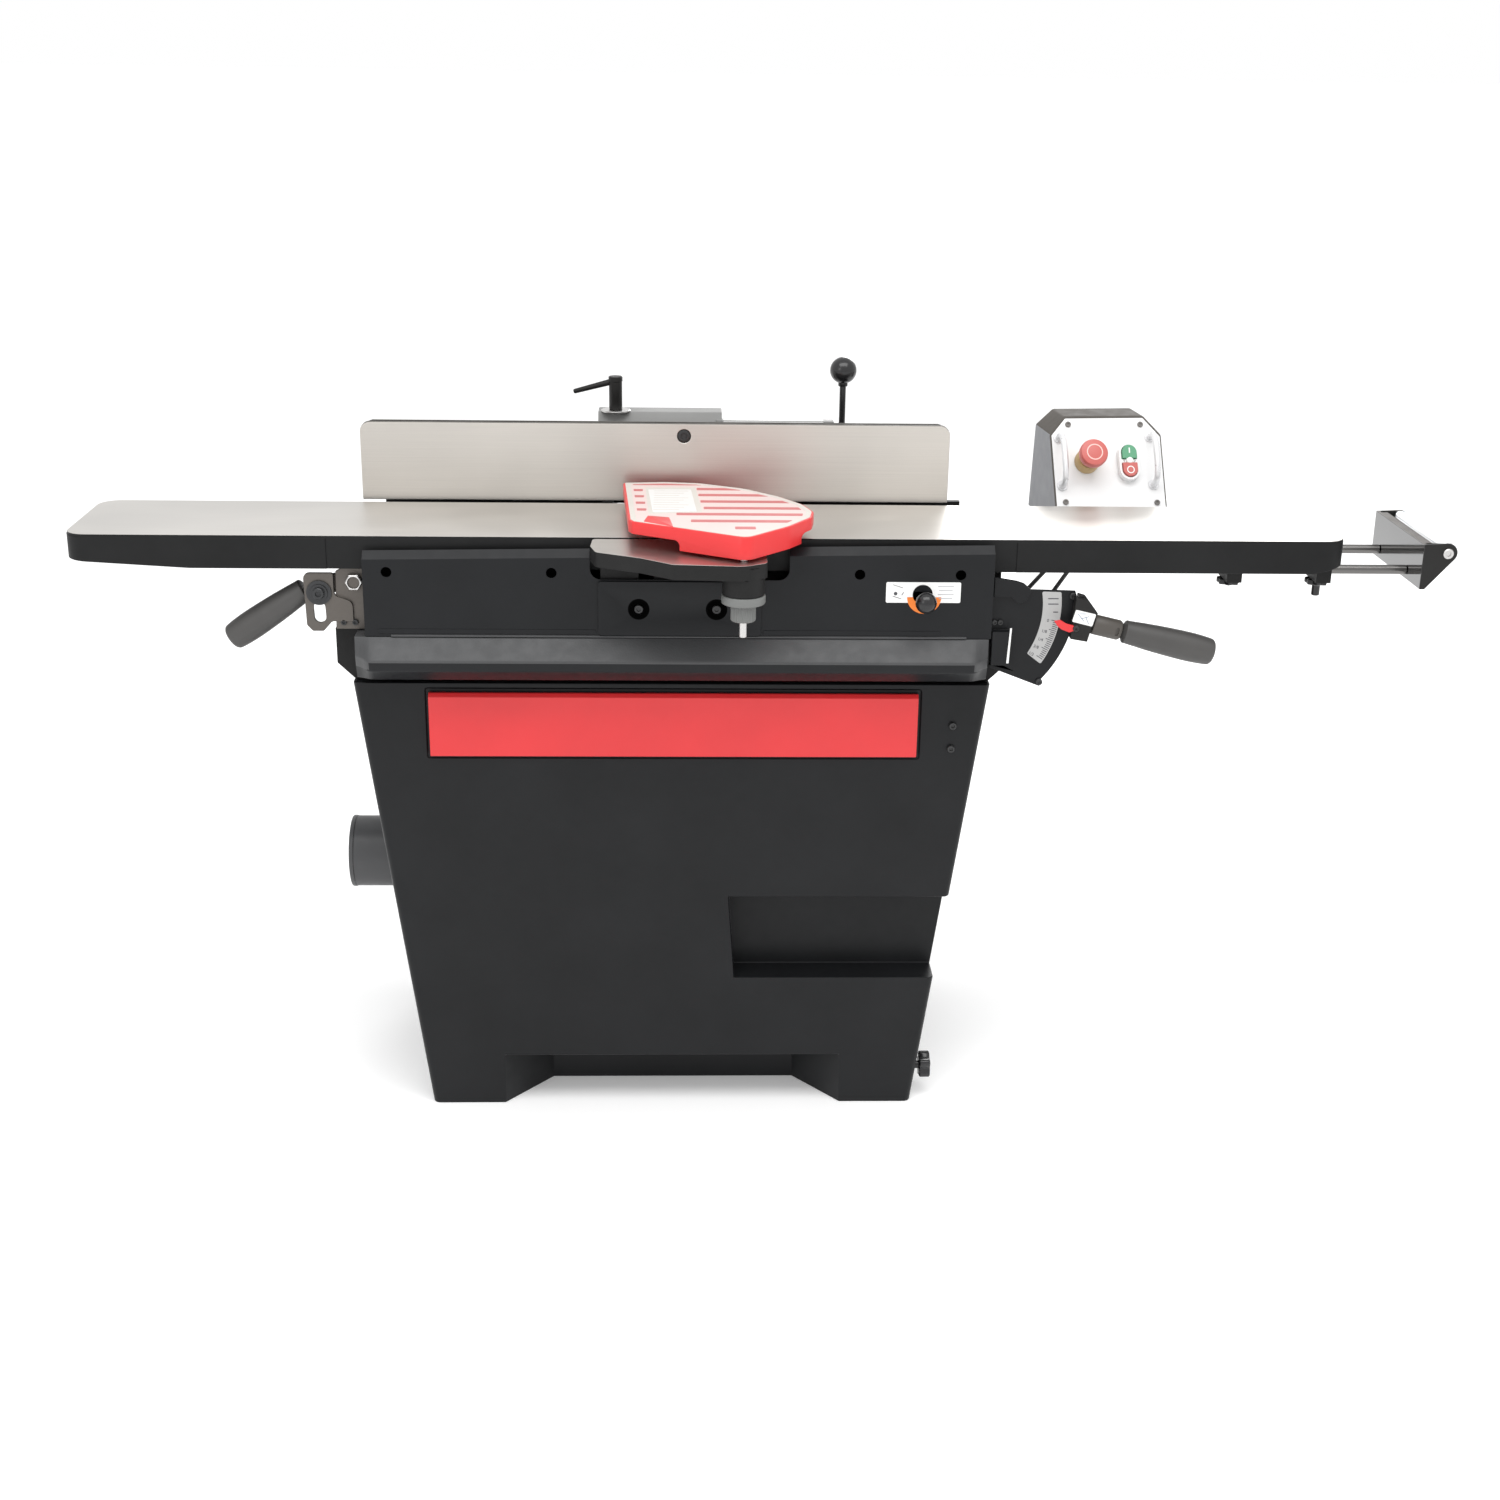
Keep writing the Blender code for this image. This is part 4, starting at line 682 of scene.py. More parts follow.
for x, z in INFEED_PIVOTS + OUTFEED_PIVOTS:
    base_steps.append(("DIFFERENCE", rod((x, 0.0, z), (x, 0.30, z), 0.0086)))
piece(
    "base_body", combine(
        prism(outline, "y", 0.030, 0.165), base_steps
    ), "cast", hides=("base_casting",), bevel=0.0012,
    segments=2,
)

BEZEL_FULL = [
    (0.0297, 0.647), (-0.0220, 0.650), (-0.0430, 0.668), (-0.0465, 0.6825), (-0.0205, 0.708),
    (0.0297, 0.708)
]
BEZEL_END = [
    (0.0297, 0.647), (-0.0110, 0.650), (-0.0185, 0.668), (-0.0215, 0.6825), (-0.0195, 0.708),
    (0.0297, 0.708)
]

def bezel_ring(x, full):
    """The bezel's section, from its flat end at 0 to its full nose at 1."""
    corners = [(a[0] + (b[0] - a[0]) * full, a[1]) for a, b in zip(BEZEL_END, BEZEL_FULL)]
    return [(x, y, z) for y, z in rounded(corners, [0.0, 0.004, 0.006, 0.0045, 0.0015, 0.0], 4)]

ends = [(0.4160, 0.0), (0.4095, 0.30), (0.4035, 0.62), (0.3990, 0.86), (0.3954, 0.97), (0.3900, 1.0)]
bezel = [bezel_ring(-x, full) for x, full in ends] + [bezel_ring(x, full) for x, full in reversed(ends)]
# Faces turned downwards get the black cover paint, painted shade on the bezel's underside; faces turned up get
# the grey texture paint.
piece(
    "bezel", tube_of_rings(bezel), ("texture", "cover"), hides=("base_bezel",), angle=30,
    pick=lambda normal, middle: 1 if normal.z < -0.2 else 0,
)

def cover_ring(x, fold):
    outline = [(0.0290, 0.7085), (-0.0200, 0.7085), (-0.0200, fold), (-0.0092, fold + 0.0100)]
    outline += [(-0.0078, fold + 0.0086), (-0.0182, fold - 0.0010), (-0.0182, 0.7103), (0.0290, 0.7103)]
    return [(x, y, z) for y, z in outline]

cover = less(
    tube_of_rings([cover_ring(-0.402, 0.8115), cover_ring(0.4190, 0.8230)]),
    prism(rectangle((-0.108, 0.787), (0.151, 0.870), 0.014), "y", -0.03, 0.01),
    block((0.360, -0.0178, 0.70), (0.43, 0.04, 0.7108)),
    prism(capsule((0.316, 0.764), (0.340, 0.764), 0.0085), "y", -0.03, 0.0),
    *[rod((x, -0.03, 0.795), (x, -0.012, 0.795), 0.0068) for x in (-0.371, -0.158, 0.243, 0.375)],
)
piece("cover_sheet", cover, "cover", hides=("front_cover",), bevel=0.0005)
# Near-black cups behind the cover's holes: painted shade inside the holes.
cups = [
    lathe(
        [(0.0, 0.0092), (0.0066, 0.0092), (0.0066, 0.0), (0.0074, 0.0), (0.0074, 0.0100), (0.0, 0.0100)],
        (x, -0.0181, 0.795), (0, 1, 0)
    )
    for x in (-0.371, -0.158, 0.243, 0.375)
]
piece("cover_hole_shade_cups", cups, "dark")
strips = [
    prism(rectangle((low, 0.7128), (high, 0.7190), 0.002, 3), "y", -0.0209, -0.0201) for low,
    high in ((-0.385, -0.101), (0.118, 0.352))
]
piece("cover_lower_strips", strips, "cover", bevel=0.0003)
lip = prism(
    [(-0.0201, 0.7086), (-0.0222, 0.7089), (-0.0222, 0.7108), (-0.0201, 0.7117)], "x", -0.3678, 0.3860
)
piece("cover_bottom_lip", lip, "texture", bevel=0.0003)

plate = less(
    prism(rectangle((-0.098, 0.712), (0.115, 0.785), 0.005), "y", -0.0235, -0.0203),
    *[
        lathe([(0.0150, 0.0), (0.0095, 0.0030), (0.0095, 0.005)], (x, -0.0240, 0.748), (0, 1, 0))
        for x in (-0.045, 0.0565)
    ],
)
# Faces inside the dished recesses get the near-black finish: painted shade in the recesses.
piece(
    "centre_plate_face", plate, ("cover", "dark"), hides=("centre_plate",), bevel=0.0006,
    pick=lambda n, m: int(
        m.y > -0.0234 and min(math.hypot(m.x - x, m.z - 0.748) for x in (-0.045, 0.0565)) < 0.0152
    ),
)
# Near-black discs at the bottom of the dishes: painted shade.
dishes = [
    lathe(
        [(0.0, 0.0), (0.0094, 0.0), (0.0094, 0.0008), (0.0, 0.0008)], (x, -0.0212, 0.748), (0, 1, 0)
    ) for x in (-0.045, 0.0565)
]
piece("centre_plate_dish_shade", dishes, "dark")
screws = [socket_screw((x, -0.0212, 0.748), (0, -1, 0), 0.0058, 0.0034) for x in (-0.045, 0.0565)]
piece("centre_plate_screws", screws, "screw", bevel=0.0003)

# ---------------------------------------------------------------- depth stop on the cover

STOP = (0.328, 0.764)
orange = arc((STOP[0], 0.7655), 0.0225, 180, 360, 24)
half_disc = prism(orange, "y", -0.03, 0.0)
orange = less(
    prism(orange, "y", -0.0206, -0.0201), rod((0.3258, -0.03, 0.7690), (0.3258, 0.0, 0.7690), 0.0132, 48)
)
piece("stop_label_orange", orange, "orange")
label = less(
    prism(rectangle((0.2777, 0.7579), (0.3756, 0.7855), 0.002), "y", -0.0207, -0.0201), half_disc,
    rod((0.3258, -0.03, 0.7690), (0.3258, 0.0, 0.7690), 0.0132, 48),
)
piece("stop_label", label, "label")


def bar(x, z, length, thick, y, angle=0.0):
    """A thin printed line that faces the operator."""
    outline = rectangle((-length / 2, -thick / 2), (length / 2, thick / 2), thick * 0.45, 2)
    return prism(outline, "z", 0.0, 0.00008, facing(x, y, z, angle))


marks = [bar(0.3560, 0.7800 - 0.0054 * i, 0.0210 - 0.003 * (i % 2), 0.0011, -0.0207) for i in range(4)]
piece("stop_label_lines", marks, "ink_light")
marks = [
    lathe([(0.0, 0.0), (0.0024, 0.0), (0.0024, 0.0001), (0.0, 0.0001)], (0.2902, -0.0207, 0.7701), (0, -1, 0))
]
marks += [bar(0.2995, 0.7700, 0.0050, 0.0009, -0.0207, 60), bar(0.2930, 0.7800, 0.0140, 0.0008, -0.0207, -18)]
marks += [bar(0.2920, 0.7650, 0.0120, 0.0008, -0.0207, -18)]
piece("stop_label_pictogram", marks, "ink")

ball = [(0.0, -0.014)] + [
    (0.014 * math.cos(math.radians(a)), 0.014 * math.sin(math.radians(a))) for a in range(-80, 90, 10)
]
stop = [
    lathe(ball + [(0.0, 0.014)], (STOP[0], -0.0440, STOP[1]), (0, -1, 0)),
    rod((STOP[0], -0.0340, STOP[1]), (STOP[0], 0.012, STOP[1]), 0.0050),
    lathe(
        [(0.0048, 0.0), (0.0070, 0.0008), (0.0070, 0.0035), (0.0048, 0.0042)], (STOP[0], -0.0330, STOP[1]),
        (0, 1, 0)
    ),
]
piece("stop_ball", stop, "black", "depth_stop", hides=("depth_stop_knob",))

# ---------------------------------------------------------------- tables


def link_end(pivot, lean):
    return pivot[0] + LINK * math.sin(math.radians(lean)), pivot[1] + LINK * math.cos(math.radians(lean))


INFEED_PINS = [link_end(p, 33.0) for p in INFEED_PIVOTS]
OUTFEED_PINS = [link_end(p, -60.0) for p in OUTFEED_PIVOTS]


def table_shape(inner, outer, lugs, cutters=()):
    sign = 1 if outer > inner else -1
    plan = rounded([(inner, 0.0), (outer, 0.0), (outer, WIDTH), (inner, WIDTH)], [0.0, 0.028, 0.028, 0.0], 8)
    start = sign * 0.45
    end_plan = rounded(
        [
            (start, -0.0012), (outer + sign * 0.0006, -0.0012), (outer + sign * 0.0006, WIDTH + 0.0012),
            (start, WIDTH + 0.0012)
        ],
        [0.001, 0.0288, 0.0288, 0.001], 8,
    )
    inside = sorted((0.0, outer - sign * 0.010))
    near = sorted((sign * 0.062, 0.0))
    steps = [
        ("UNION", prism(end_plan, "z", 0.7940, 0.8345)),
        ("DIFFERENCE", block((inside[0], 0.009, 0.7), (inside[1], WIDTH - 0.009, TOP - 0.014))),
        ("DIFFERENCE", block((near[0], -0.01, 0.7), (near[1], 0.21, TOP - 0.014))),
        ("DIFFERENCE", rod((0.0, -0.01, HEAD_Z), (0.0, 0.21, HEAD_Z), 0.041, 64)),
    ]
    for x, z in lugs:
        lug = [(x - 0.013, TOP - 0.012), (x - 0.013, z)] + arc((x, z), 0.013, 180, 360, 14)[1:-1]
        lug += [(x + 0.013, z), (x + 0.013, TOP - 0.012)]
        for near_y, far_y in ((0.0660, 0.0815), (0.1085, 0.1240)):
            steps.append(("UNION", prism(lug, "y", near_y, far_y)))
        steps.append(("DIFFERENCE", rod((x, 0.06, z), (x, 0.13, z), 0.0066)))
    return combine(prism(plan, "z", 0.794, TOP), steps + [("DIFFERENCE", tool) for tool in cutters])


def table_pick(normal, middle):
    return 0 if middle.z > TOP - 0.0002 and normal.z > 0.9 else 1


rods = [rod((0.80, y, 0.789), (0.95, y, 0.789), 0.0072) for y in (0.047, 0.160)]
rods.append(prism([(0.840, 0.70), (0.90, 0.70), (0.90, 0.8060), (0.840, 0.7930)], "y", -0.01, 0.21))
piece(
    "infeed_table_top", table_shape(
        0.020, 0.8872, INFEED_PINS, rods
    ), ("table", "black_edge"), "infeed_table",
    hides=("infeed_table",), bevel=0.0008, segments=2, pick=table_pick,
)
taper = prism([(-0.80, 0.70), (-0.61, 0.70), (-0.61, 0.7930), (-0.80, 0.8040)], "y", -0.01, 0.21)
piece(
    "outfeed_table_top", table_shape(
        -0.020, -0.7872, OUTFEED_PINS, [taper]
    ), ("table", "black_edge"), "outfeed_table",
    hides=("outfeed_table",), bevel=0.0008, segments=2, pick=table_pick,
)

# ---------------------------------------------------------------- depth scale and infeed lever

LUG = [
    (0.4210, 0.7640), (0.4440, 0.7640), (0.4533, 0.7540), (0.4650, 0.7600), (0.4715, 0.7724),
    (0.4601, 0.7819)
]
LUG = rounded(
    LUG + [(0.4507, 0.7850), (0.4210, 0.7900)], [0.0, 0.003, 0.006, 0.006, 0.004, 0.004, 0.004, 0.0], 4
)
sector = [(0.345, 0.7120), (0.4200, 0.7120), (0.4200, 0.6660), (0.4890, 0.6395)]
sector += arc(INFEED_PIVOT, 0.1640, -42, 2, 24) + [(0.5290, 0.7715), (0.470, 0.773), (0.345, 0.780)]
sector = combine(
    prism(sector, "y", -0.0070, -0.0040),
    [("DIFFERENCE", rod((0.368, -0.02, 0.758), (0.368, 0.0, 0.758), 0.0100))]
    + [
        ("UNION", rod((x, -0.0055, z), (x, 0.0297, z), 0.0050)) for x,
        z in ((0.4340, 0.6750), (0.3530, 0.7230))
    ]
    + [
        ("UNION", block((0.4205, -0.0200, 0.6723), (0.4445, -0.0060, 0.7180))),
        ("UNION", prism(LUG, "y", -0.0125, -0.0065))
    ],
)
piece("sector_plate", sector, "paint", hides=("depth_scale",), bevel=0.0005)
strip = prism([(0.4434, 0.7237), (0.4457, 0.7238), (0.4438, 0.6755), (0.4407, 0.6755)], "y", -0.0206, -0.0202)
piece("sector_end_strip", strip, "label")

def polar(radius, angle):
    a = math.radians(angle)
    return INFEED_PIVOT[0] + radius * math.cos(a), INFEED_PIVOT[1] + radius * math.sin(a)

band = [polar(0.1430 + 0.0059 * k / 24, 4.7 - 40.5 * k / 24) for k in range(25)]
band += [polar(0.1252 - 0.0075 * k / 24, -35.5 + 41.5 * k / 24) for k in range(25)]
radii = [0.002] + [0.0] * 23 + [0.002, 0.002] + [0.0] * 23 + [0.002]
piece("scale_label", prism(rounded(band, radii, 3), "y", -0.0073, -0.0070), "label_grey")
ticks = []
for k in range(21):
    angle = -11.4 - 21.9 * k / 20
    length = 0.0100 if k % 5 == 0 else 0.0072
    x, z = polar(0.1418 + 0.0059 * (4.7 - angle) / 40.5 - length / 2, angle)
    ticks.append(bar(x, z, length, 0.0010, -0.0073, angle))
for radius, angle in ((0.1325, 1.2), (0.1330, -2.0), (0.1375, -6.5)):
    x, z = polar(radius, angle)
    ticks.append(bar(x, z, 0.014 if angle > -5 else 0.007, 0.0014, -0.0073, 0.0))
piece("scale_ticks", ticks, "ink")
figures = []
for text, angle in (("0", -12.1), ("1/8", -18.9), ("1/4", -24.2), ("3/8", -29.2), ("1/2", -34.2)):
    x, z = polar(0.1300, angle)
    figures.append(lettering(text, 0.0060, facing(x, -0.0074, z, angle + 8)))
piece("scale_figures", figures, "ink")
screws = [
    socket_screw((x, -0.0070, z), (0, -1, 0), 0.0046, 0.0036) for x,
    z in ((0.5260, 0.7648), (0.4880, 0.6460))
]
screws += [socket_screw((x, -0.0070, 0.7285), (0, -1, 0), 0.0036, 0.0040) for x in (0.4240, 0.4315)]
piece("sector_screws", screws, "screw", bevel=0.0002)


def link_shape(pivot, pin, shaft):
    return plus(
        prism(capsule(pivot, pin, 0.0150, 0.0125), "y", 0.0840, 0.1060),
        rod((pivot[0], shaft[0], pivot[1]), (pivot[0], shaft[1], pivot[1]), 0.0080),
        rod((pin[0], 0.0640, pin[1]), (pin[0], 0.1260, pin[1]), 0.0058),
    )


BLOCK = [(0.5447, 0.7625), (0.5574, 0.7459), (0.5509, 0.7284), (0.5455, 0.7068)]
LEVER = Matrix.Translation((0.5383, 0.0, 0.7365)) @ Matrix.Rotation(math.radians(13.1), 4, "Y")
lever = plus(
    link_shape(INFEED_PIVOT, INFEED_PINS[0], (0.0030, 0.1700)),
    prism(capsule(INFEED_PIVOT, (0.541, 0.738), 0.0150, 0.0110), "y", 0.0035, 0.0090),
    prism([(0.5275, 0.7672)] + BLOCK + [(0.5228, 0.7107)], "y", -0.0260, -0.0115),
    prism([(0.5345, 0.7653)] + BLOCK + [(0.5345, 0.7088)], "y", -0.0130, 0.0090),
)
piece(
    "infeed_lever_arm", lever, "frame", "infeed_link", hides=("infeed_link",), bevel=0.0010,
)
plate = [(0.5278, 0.7510), (0.5548, 0.7447), (0.5504, 0.7282), (0.5234, 0.7349)]
plate = prism(rounded(plate, 0.0015, 3), "y", -0.0263, -0.0260)
piece("lever_label", plate, "label", "infeed_link")
strokes = [
    ((-0.004, 0.003), 0.013, -38), ((0.001, 0.004), 0.011, 30), ((0.005, 0.001), 0.010, -52),
    ((-0.003, 0.0085), 0.008, 12)
]
marks = []
for (x, z), length, turn in strokes:
    centre = LEVER @ Vector((x, -0.0264, z))
    marks.append(bar(centre.x, centre.z, length, 0.0007, -0.0263, turn - 13))
piece("lever_label_marks", marks, "ink_blue", "infeed_link")

GRIP_FROM = Vector((0.5497, -0.012, 0.7288))
GRIP_WAY = (Vector((0.7140, -0.012, 0.6900)) - GRIP_FROM).normalized()
grip_base = GRIP_FROM + GRIP_WAY * 0.003
grip_length = 0.1688
ferrule = lathe(
    [
        (0.0105, 0.0002), (0.0128, 0.0010), (0.0135, 0.0030), (0.0135, 0.0368), (0.0122, 0.0392),
        (0.0098, 0.0400), (0.0075, 0.0400)
    ],
    grip_base, GRIP_WAY
)
slot_at = Matrix.Translation(grip_base) @ along(GRIP_WAY)
ferrule = less(
    ferrule, prism(capsule((-0.0035, 0.0330), (0.0035, 0.0330), 0.0022), "y", -0.02, -0.0108, slot_at)
)
piece("infeed_ferrule", ferrule, "ferrule", "infeed_link", bevel=0.0002)


def grip_profile(length, neck, start=0.0):
    stops = [
        (0.0, neck), (0.012, 0.78), (0.06, 0.80), (0.35, 0.93), (0.70, 1.0), (0.93, 0.93), (0.985, 0.80),
        (1.0, 0.55)
    ]
    points = smooth_path([(t * length + start, 0.0195 * r, 0.0) for t, r in stops], 5)
    return [(p.y, p.x) for p in points] + [(0.0, length + start)]


grip = lathe([(0.0072, 0.0390)] + grip_profile(grip_length - 0.0440, 0.62, 0.0440), grip_base, GRIP_WAY, 48)
piece("infeed_grip_body", grip, "grip", "infeed_link", hides=("infeed_grip",), angle=50)
pointer = [
    (0.4993, 0.7362), (0.5045, 0.7290), (0.5100, 0.7247), (0.5203, 0.7207), (0.5265, 0.7230),
    (0.5255, 0.7300), (0.5150, 0.7330), (0.5076, 0.7376)
]
piece(
    "pointer_arrow", prism(pointer, "y", -0.0290, -0.0266), "red", "infeed_link", hides=("infeed_pointer",),
    bevel=0.0004
)
piece(
    "pointer_screw", [socket_screw((0.5287, -0.0260, 0.7262), (0, -1, 0), 0.0042, 0.0045)], "screw",
    "infeed_link"
)

# ---------------------------------------------------------------- outfeed adjuster

SLOT_PLATE = [(-0.4440, 0.7866), (-0.4831, 0.7866), (-0.4812, 0.7161), (-0.4739, 0.7080), (-0.4596, 0.7080)]
SLOT_PLATE += [(-0.4479, 0.7212), (-0.4200, 0.7212), (-0.4200, 0.7480), (-0.4440, 0.7560)]
SLOT_RADII = [0.003, 0.008, 0.004, 0.003, 0.003, 0.006, 0.002, 0.010, 0.008]
bracket = combine(
    prism(
        [(-0.4438, 0.7100), (-0.4060, 0.7100), (-0.4060, 0.8040), (-0.4110, 0.8040), (-0.4412, 0.7881)],
        "y", 0.0100, 0.0140
    ),
    [
        ("UNION", prism(rounded(SLOT_PLATE, SLOT_RADII, 5), "y", 0.0060, 0.0110)),
        ("DIFFERENCE", rod((-0.417, 0.0, 0.775), (-0.417, 0.02, 0.775), 0.0087)),
        ("DIFFERENCE", prism(capsule((-0.4632, 0.7272), (-0.4637, 0.7400), 0.0077), "y", 0.0, 0.02)),
    ]
    + [("UNION", rod((x, 0.0120, 0.7196), (x, 0.0297, 0.7196), 0.0040)) for x in (-0.4331, -0.4181)],
)
piece("adjuster_plates", bracket, "zinc", hides=("outfeed_bracket",), bevel=0.0006)
hardware = [
    lathe(
        [(0.0, 0.0), (0.0155, 0.0), (0.0165, 0.0008), (0.0165, 0.0024), (0.0, 0.0024)],
        (-0.4631, 0.0060, 0.7604), (0, -1, 0)
    ),
    lathe(
        [(0.0, 0.0), (0.0108, 0.0), (0.0115, 0.0006), (0.0115, 0.0020), (0.0, 0.0020)],
        (-0.4631, 0.0037, 0.7604), (0, -1, 0)
    ),
    socket_screw((-0.4631, 0.0020, 0.7604), (0, -1, 0), 0.0078, 0.0048),
]
hardware += [socket_screw((x, 0.0100, 0.7196), (0, -1, 0), 0.0040, 0.0040) for x in (-0.4331, -0.4181)]
piece("adjuster_screws", hardware, "adjuster_bolt", bevel=0.0002)

lever = plus(
    link_shape(OUTFEED_PIVOT, OUTFEED_PINS[0], (0.0030, 0.1700)),
    prism(capsule(OUTFEED_PIVOT, (-0.4714, 0.7645), 0.0120), "y", 0.0180, 0.0280),
)
piece("outfeed_lever_arm", lever, "zinc", "outfeed_link", hides=("outfeed_link",), bevel=0.0008)
nut = less(
    lathe(
        [(0.0106, 0.0), (0.0118, 0.0012), (0.0118, 0.0085)], (OUTFEED_PIVOT[0], 0.0006, OUTFEED_PIVOT[1]),
        (0, 1, 0), 6
    ),
    rod((-0.417, -0.01, 0.775), (-0.417, 0.02, 0.775), 0.0080),
)
piece("outfeed_pivot_nut", nut, "steel", "outfeed_link", bevel=0.0003)
OUT_FROM = Vector((-0.4854, 0.0300, 0.7585))
OUT_WAY = Vector((-0.5860, 0.0300, 0.6905)) - OUT_FROM
grip = lathe(grip_profile(OUT_WAY.length, 0.70), OUT_FROM, OUT_WAY, 48)
piece("outfeed_grip_body", grip, "grip", "outfeed_link", hides=("outfeed_grip",), angle=50)

# ---------------------------------------------------------------- ledge and guard

LEDGE = [(0.118, -0.004), (-0.105, -0.004), (-0.1065, -0.043), (-0.0985, -0.0745), (-0.0414, -0.1034)]
LEDGE += [(-0.0012, -0.1350), (0.0890, -0.1428), (0.118, -0.1250)]
ledge = combine(
    prism(rounded(LEDGE, [0.0, 0.006, 0.020, 0.012, 0.030, 0.012, 0.026, 0.012], 8), "z", 0.8170, 0.8370),
    [
        (
            "DIFFERENCE",
            prism(
                [(0.110, -0.012), (-0.097, -0.012), (-0.0985, -0.043), (-0.0900, -0.0690), (-0.036, -0.0960)]
                + [(0.0040, -0.1270), (0.0560, -0.1310), (0.0560, -0.0850), (0.110, -0.0850)],
                "z",
                0.79,
                0.8290,
            ),
        ),
        (
            "UNION",
            lathe([(0.0262, 0.0), (0.0270, 0.0010), (0.0270, 0.038)], (*GUARD_AT, 0.7940), (0, 0, 1), 48)
        ),
        ("UNION", block((-0.095, -0.0150, 0.7656), (-0.045, -0.0050, 0.8300))),
        ("UNION", block((0.045, -0.0150, 0.7656), (0.110, -0.0050, 0.8300))),
        ("DIFFERENCE", rod((*GUARD_AT, 0.78), (*GUARD_AT, 0.85), 0.0062)),
        ("DIFFERENCE", rod((0.0, -0.0200, HEAD_Z), (0.0, 0.0100, HEAD_Z), 0.0278)),
    ],
)
piece(
    "ledge_casting", ledge, ("table", "cast"), hides=("rabbet_ledge",), bevel=0.0010,
    pick=lambda normal, middle: 0 if normal.z > 0.9 and middle.z > 0.8365 else 1,
)

cap = lathe(
    [
        (0.0062, 0.0), (0.0255, 0.0), (0.0274, 0.0008), (0.0280, 0.0024), (0.0280, 0.0098),
        (0.0274, 0.0113), (0.0262, 0.0117), (0.0062, 0.0117)
    ],
    (*GUARD_AT, 0.7820), (0, 0, 1), 48, True,
)
piece("spring_cap", cap, "cap", hides=("guard_spring_cap",), bevel=0.0003)


def fluted(radius, depth, count, steps=4):
    """A round outline with shallow flutes."""
    out = []
    for k in range(count * steps):
        angle = 2 * math.pi * k / (count * steps)
        out.append((angle, radius - depth * (0.5 - 0.5 * math.cos(count * angle))))
    return out


def fluted_knob(base, levels, count, depth, bore=0.0):
    rings = []
    for radius, z in levels:
        rings.append([
            (base[0] + r * math.cos(a), base[1] + r * math.sin(a), base[2] + z)
            for a, r in fluted(radius, depth, count)
        ])
    shape = tube_of_rings(rings)
    return less(
        shape, rod((base[0], base[1], base[2] - 0.01), (base[0], base[1], base[2] + 0.05), bore)
    ) if bore else shape


knob = fluted_knob(
    (*GUARD_AT, 0.7592), [(0.0146, 0.0), (0.0160, 0.0016), (0.0160, 0.0205), (0.0148, 0.0225)], 24, 0.0009,
    0.0054
)
piece("tension_knob", knob, "cap", "guard_knob", hides=("guard_tension_knob",), angle=40)

GUARD = [(-0.0702, 0.1835), (-0.0573, -0.0378), (-0.0524, -0.0493), (0.0920, -0.1348), (0.1475, -0.0712)]
GUARD += [(0.1784, -0.0205), (0.1831, 0.0138), (0.1720, 0.0550), (0.1427, 0.1020), (0.0970, 0.1505)]
GUARD += [(0.0359, 0.1835), (-0.0124, 0.1900)]
GUARD_RADII = [0.006, 0.006, 0.006, 0.0165, 0.060, 0.030, 0.030, 0.050, 0.060, 0.060, 0.050, 0.020]


def guard_outline(by):
    """The guard's outline drawn in by a distance, with its corners kept round."""
    return rounded(inset(GUARD, by), [max(0.002, r - by) for r in GUARD_RADII], 6)

edge = guard_outline(0.0)
skirt = [(-0.0655, 0.1790), (-0.0525, -0.0350), (0.0700, -0.0920), (0.1190, -0.0920), (0.1425, -0.0640)]
skirt += [(0.1730, -0.0180), (0.1775, 0.0120), (0.1670, 0.0525), (0.1380, 0.0985), (0.0940, 0.1455)]
skirt += [(0.0345, 0.1785), (-0.0124, 0.1850)]
left_cut = rounded([(-0.12, 0.82), (0.008, 0.82), (0.008, 0.8545), (-0.12, 0.8545)], [0.0, 0.0, 0.007, 0.0])
right_cut = rounded([(0.1640, 0.82), (0.25, 0.82), (0.25, 0.8545), (0.1640, 0.8545)], [0.0, 0.0, 0.0, 0.007])
guard = combine(
    tube_of_rings([
        [(x, y, 0.8415) for x, y in edge],
        [(x, y, 0.8695) for x, y in edge],
        [(x, y, 0.8707) for x, y in guard_outline(0.0007)],
    ]),
    [
        ("DIFFERENCE", prism(skirt, "z", 0.82, 0.8675)),
        ("DIFFERENCE", prism(left_cut, "y", -0.20, 0.25)),
        ("DIFFERENCE", prism(right_cut, "y", -0.20, 0.25)),
        ("DIFFERENCE", rod((*GUARD_AT, 0.83), (*GUARD_AT, 0.8660), 0.0053)),
    ],
)
piece(
    "guard_shell", guard, "guard_red", "guard", hides=("guard",), bevel=0.0010, segments=3
)

rim = less(prism(guard_outline(0.0028), "z", 0.8706, 0.8711), prism(guard_outline(0.0100), "z", 0.86, 0.88))
piece("guard_rim", rim, "guard_edge", "guard", bevel=0.0001, segments=1)
LABEL_FRAME = rounded([(-0.0323, -0.0062), (0.0379, 0.0042), (0.0293, 0.1546), (-0.0387, 0.1524)], 0.002, 3)
LABEL = rounded([(-0.0267, 0.0024), (0.0303, 0.0082), (0.0232, 0.1405), (-0.0349, 0.1386)], 0.002, 3)
pads = less(prism(guard_outline(0.0099), "z", 0.8706, 0.8709), prism(LABEL_FRAME, "z", 0.86, 0.88))
piece("guard_field", pads, "guard_pad", "guard")
inner_edge = guard_outline(0.0130)

def stripe(low_x, high_x, y, width):
    """A bar across the guard, cut to its outline."""
    shape = prism(rectangle((low_x, y - width / 2), (high_x, y + width / 2), 0.0015, 3), "z", 0.8706, 0.8712)
    return combine(shape, [("INTERSECT", prism(inner_edge, "z", 0.86, 0.88))])

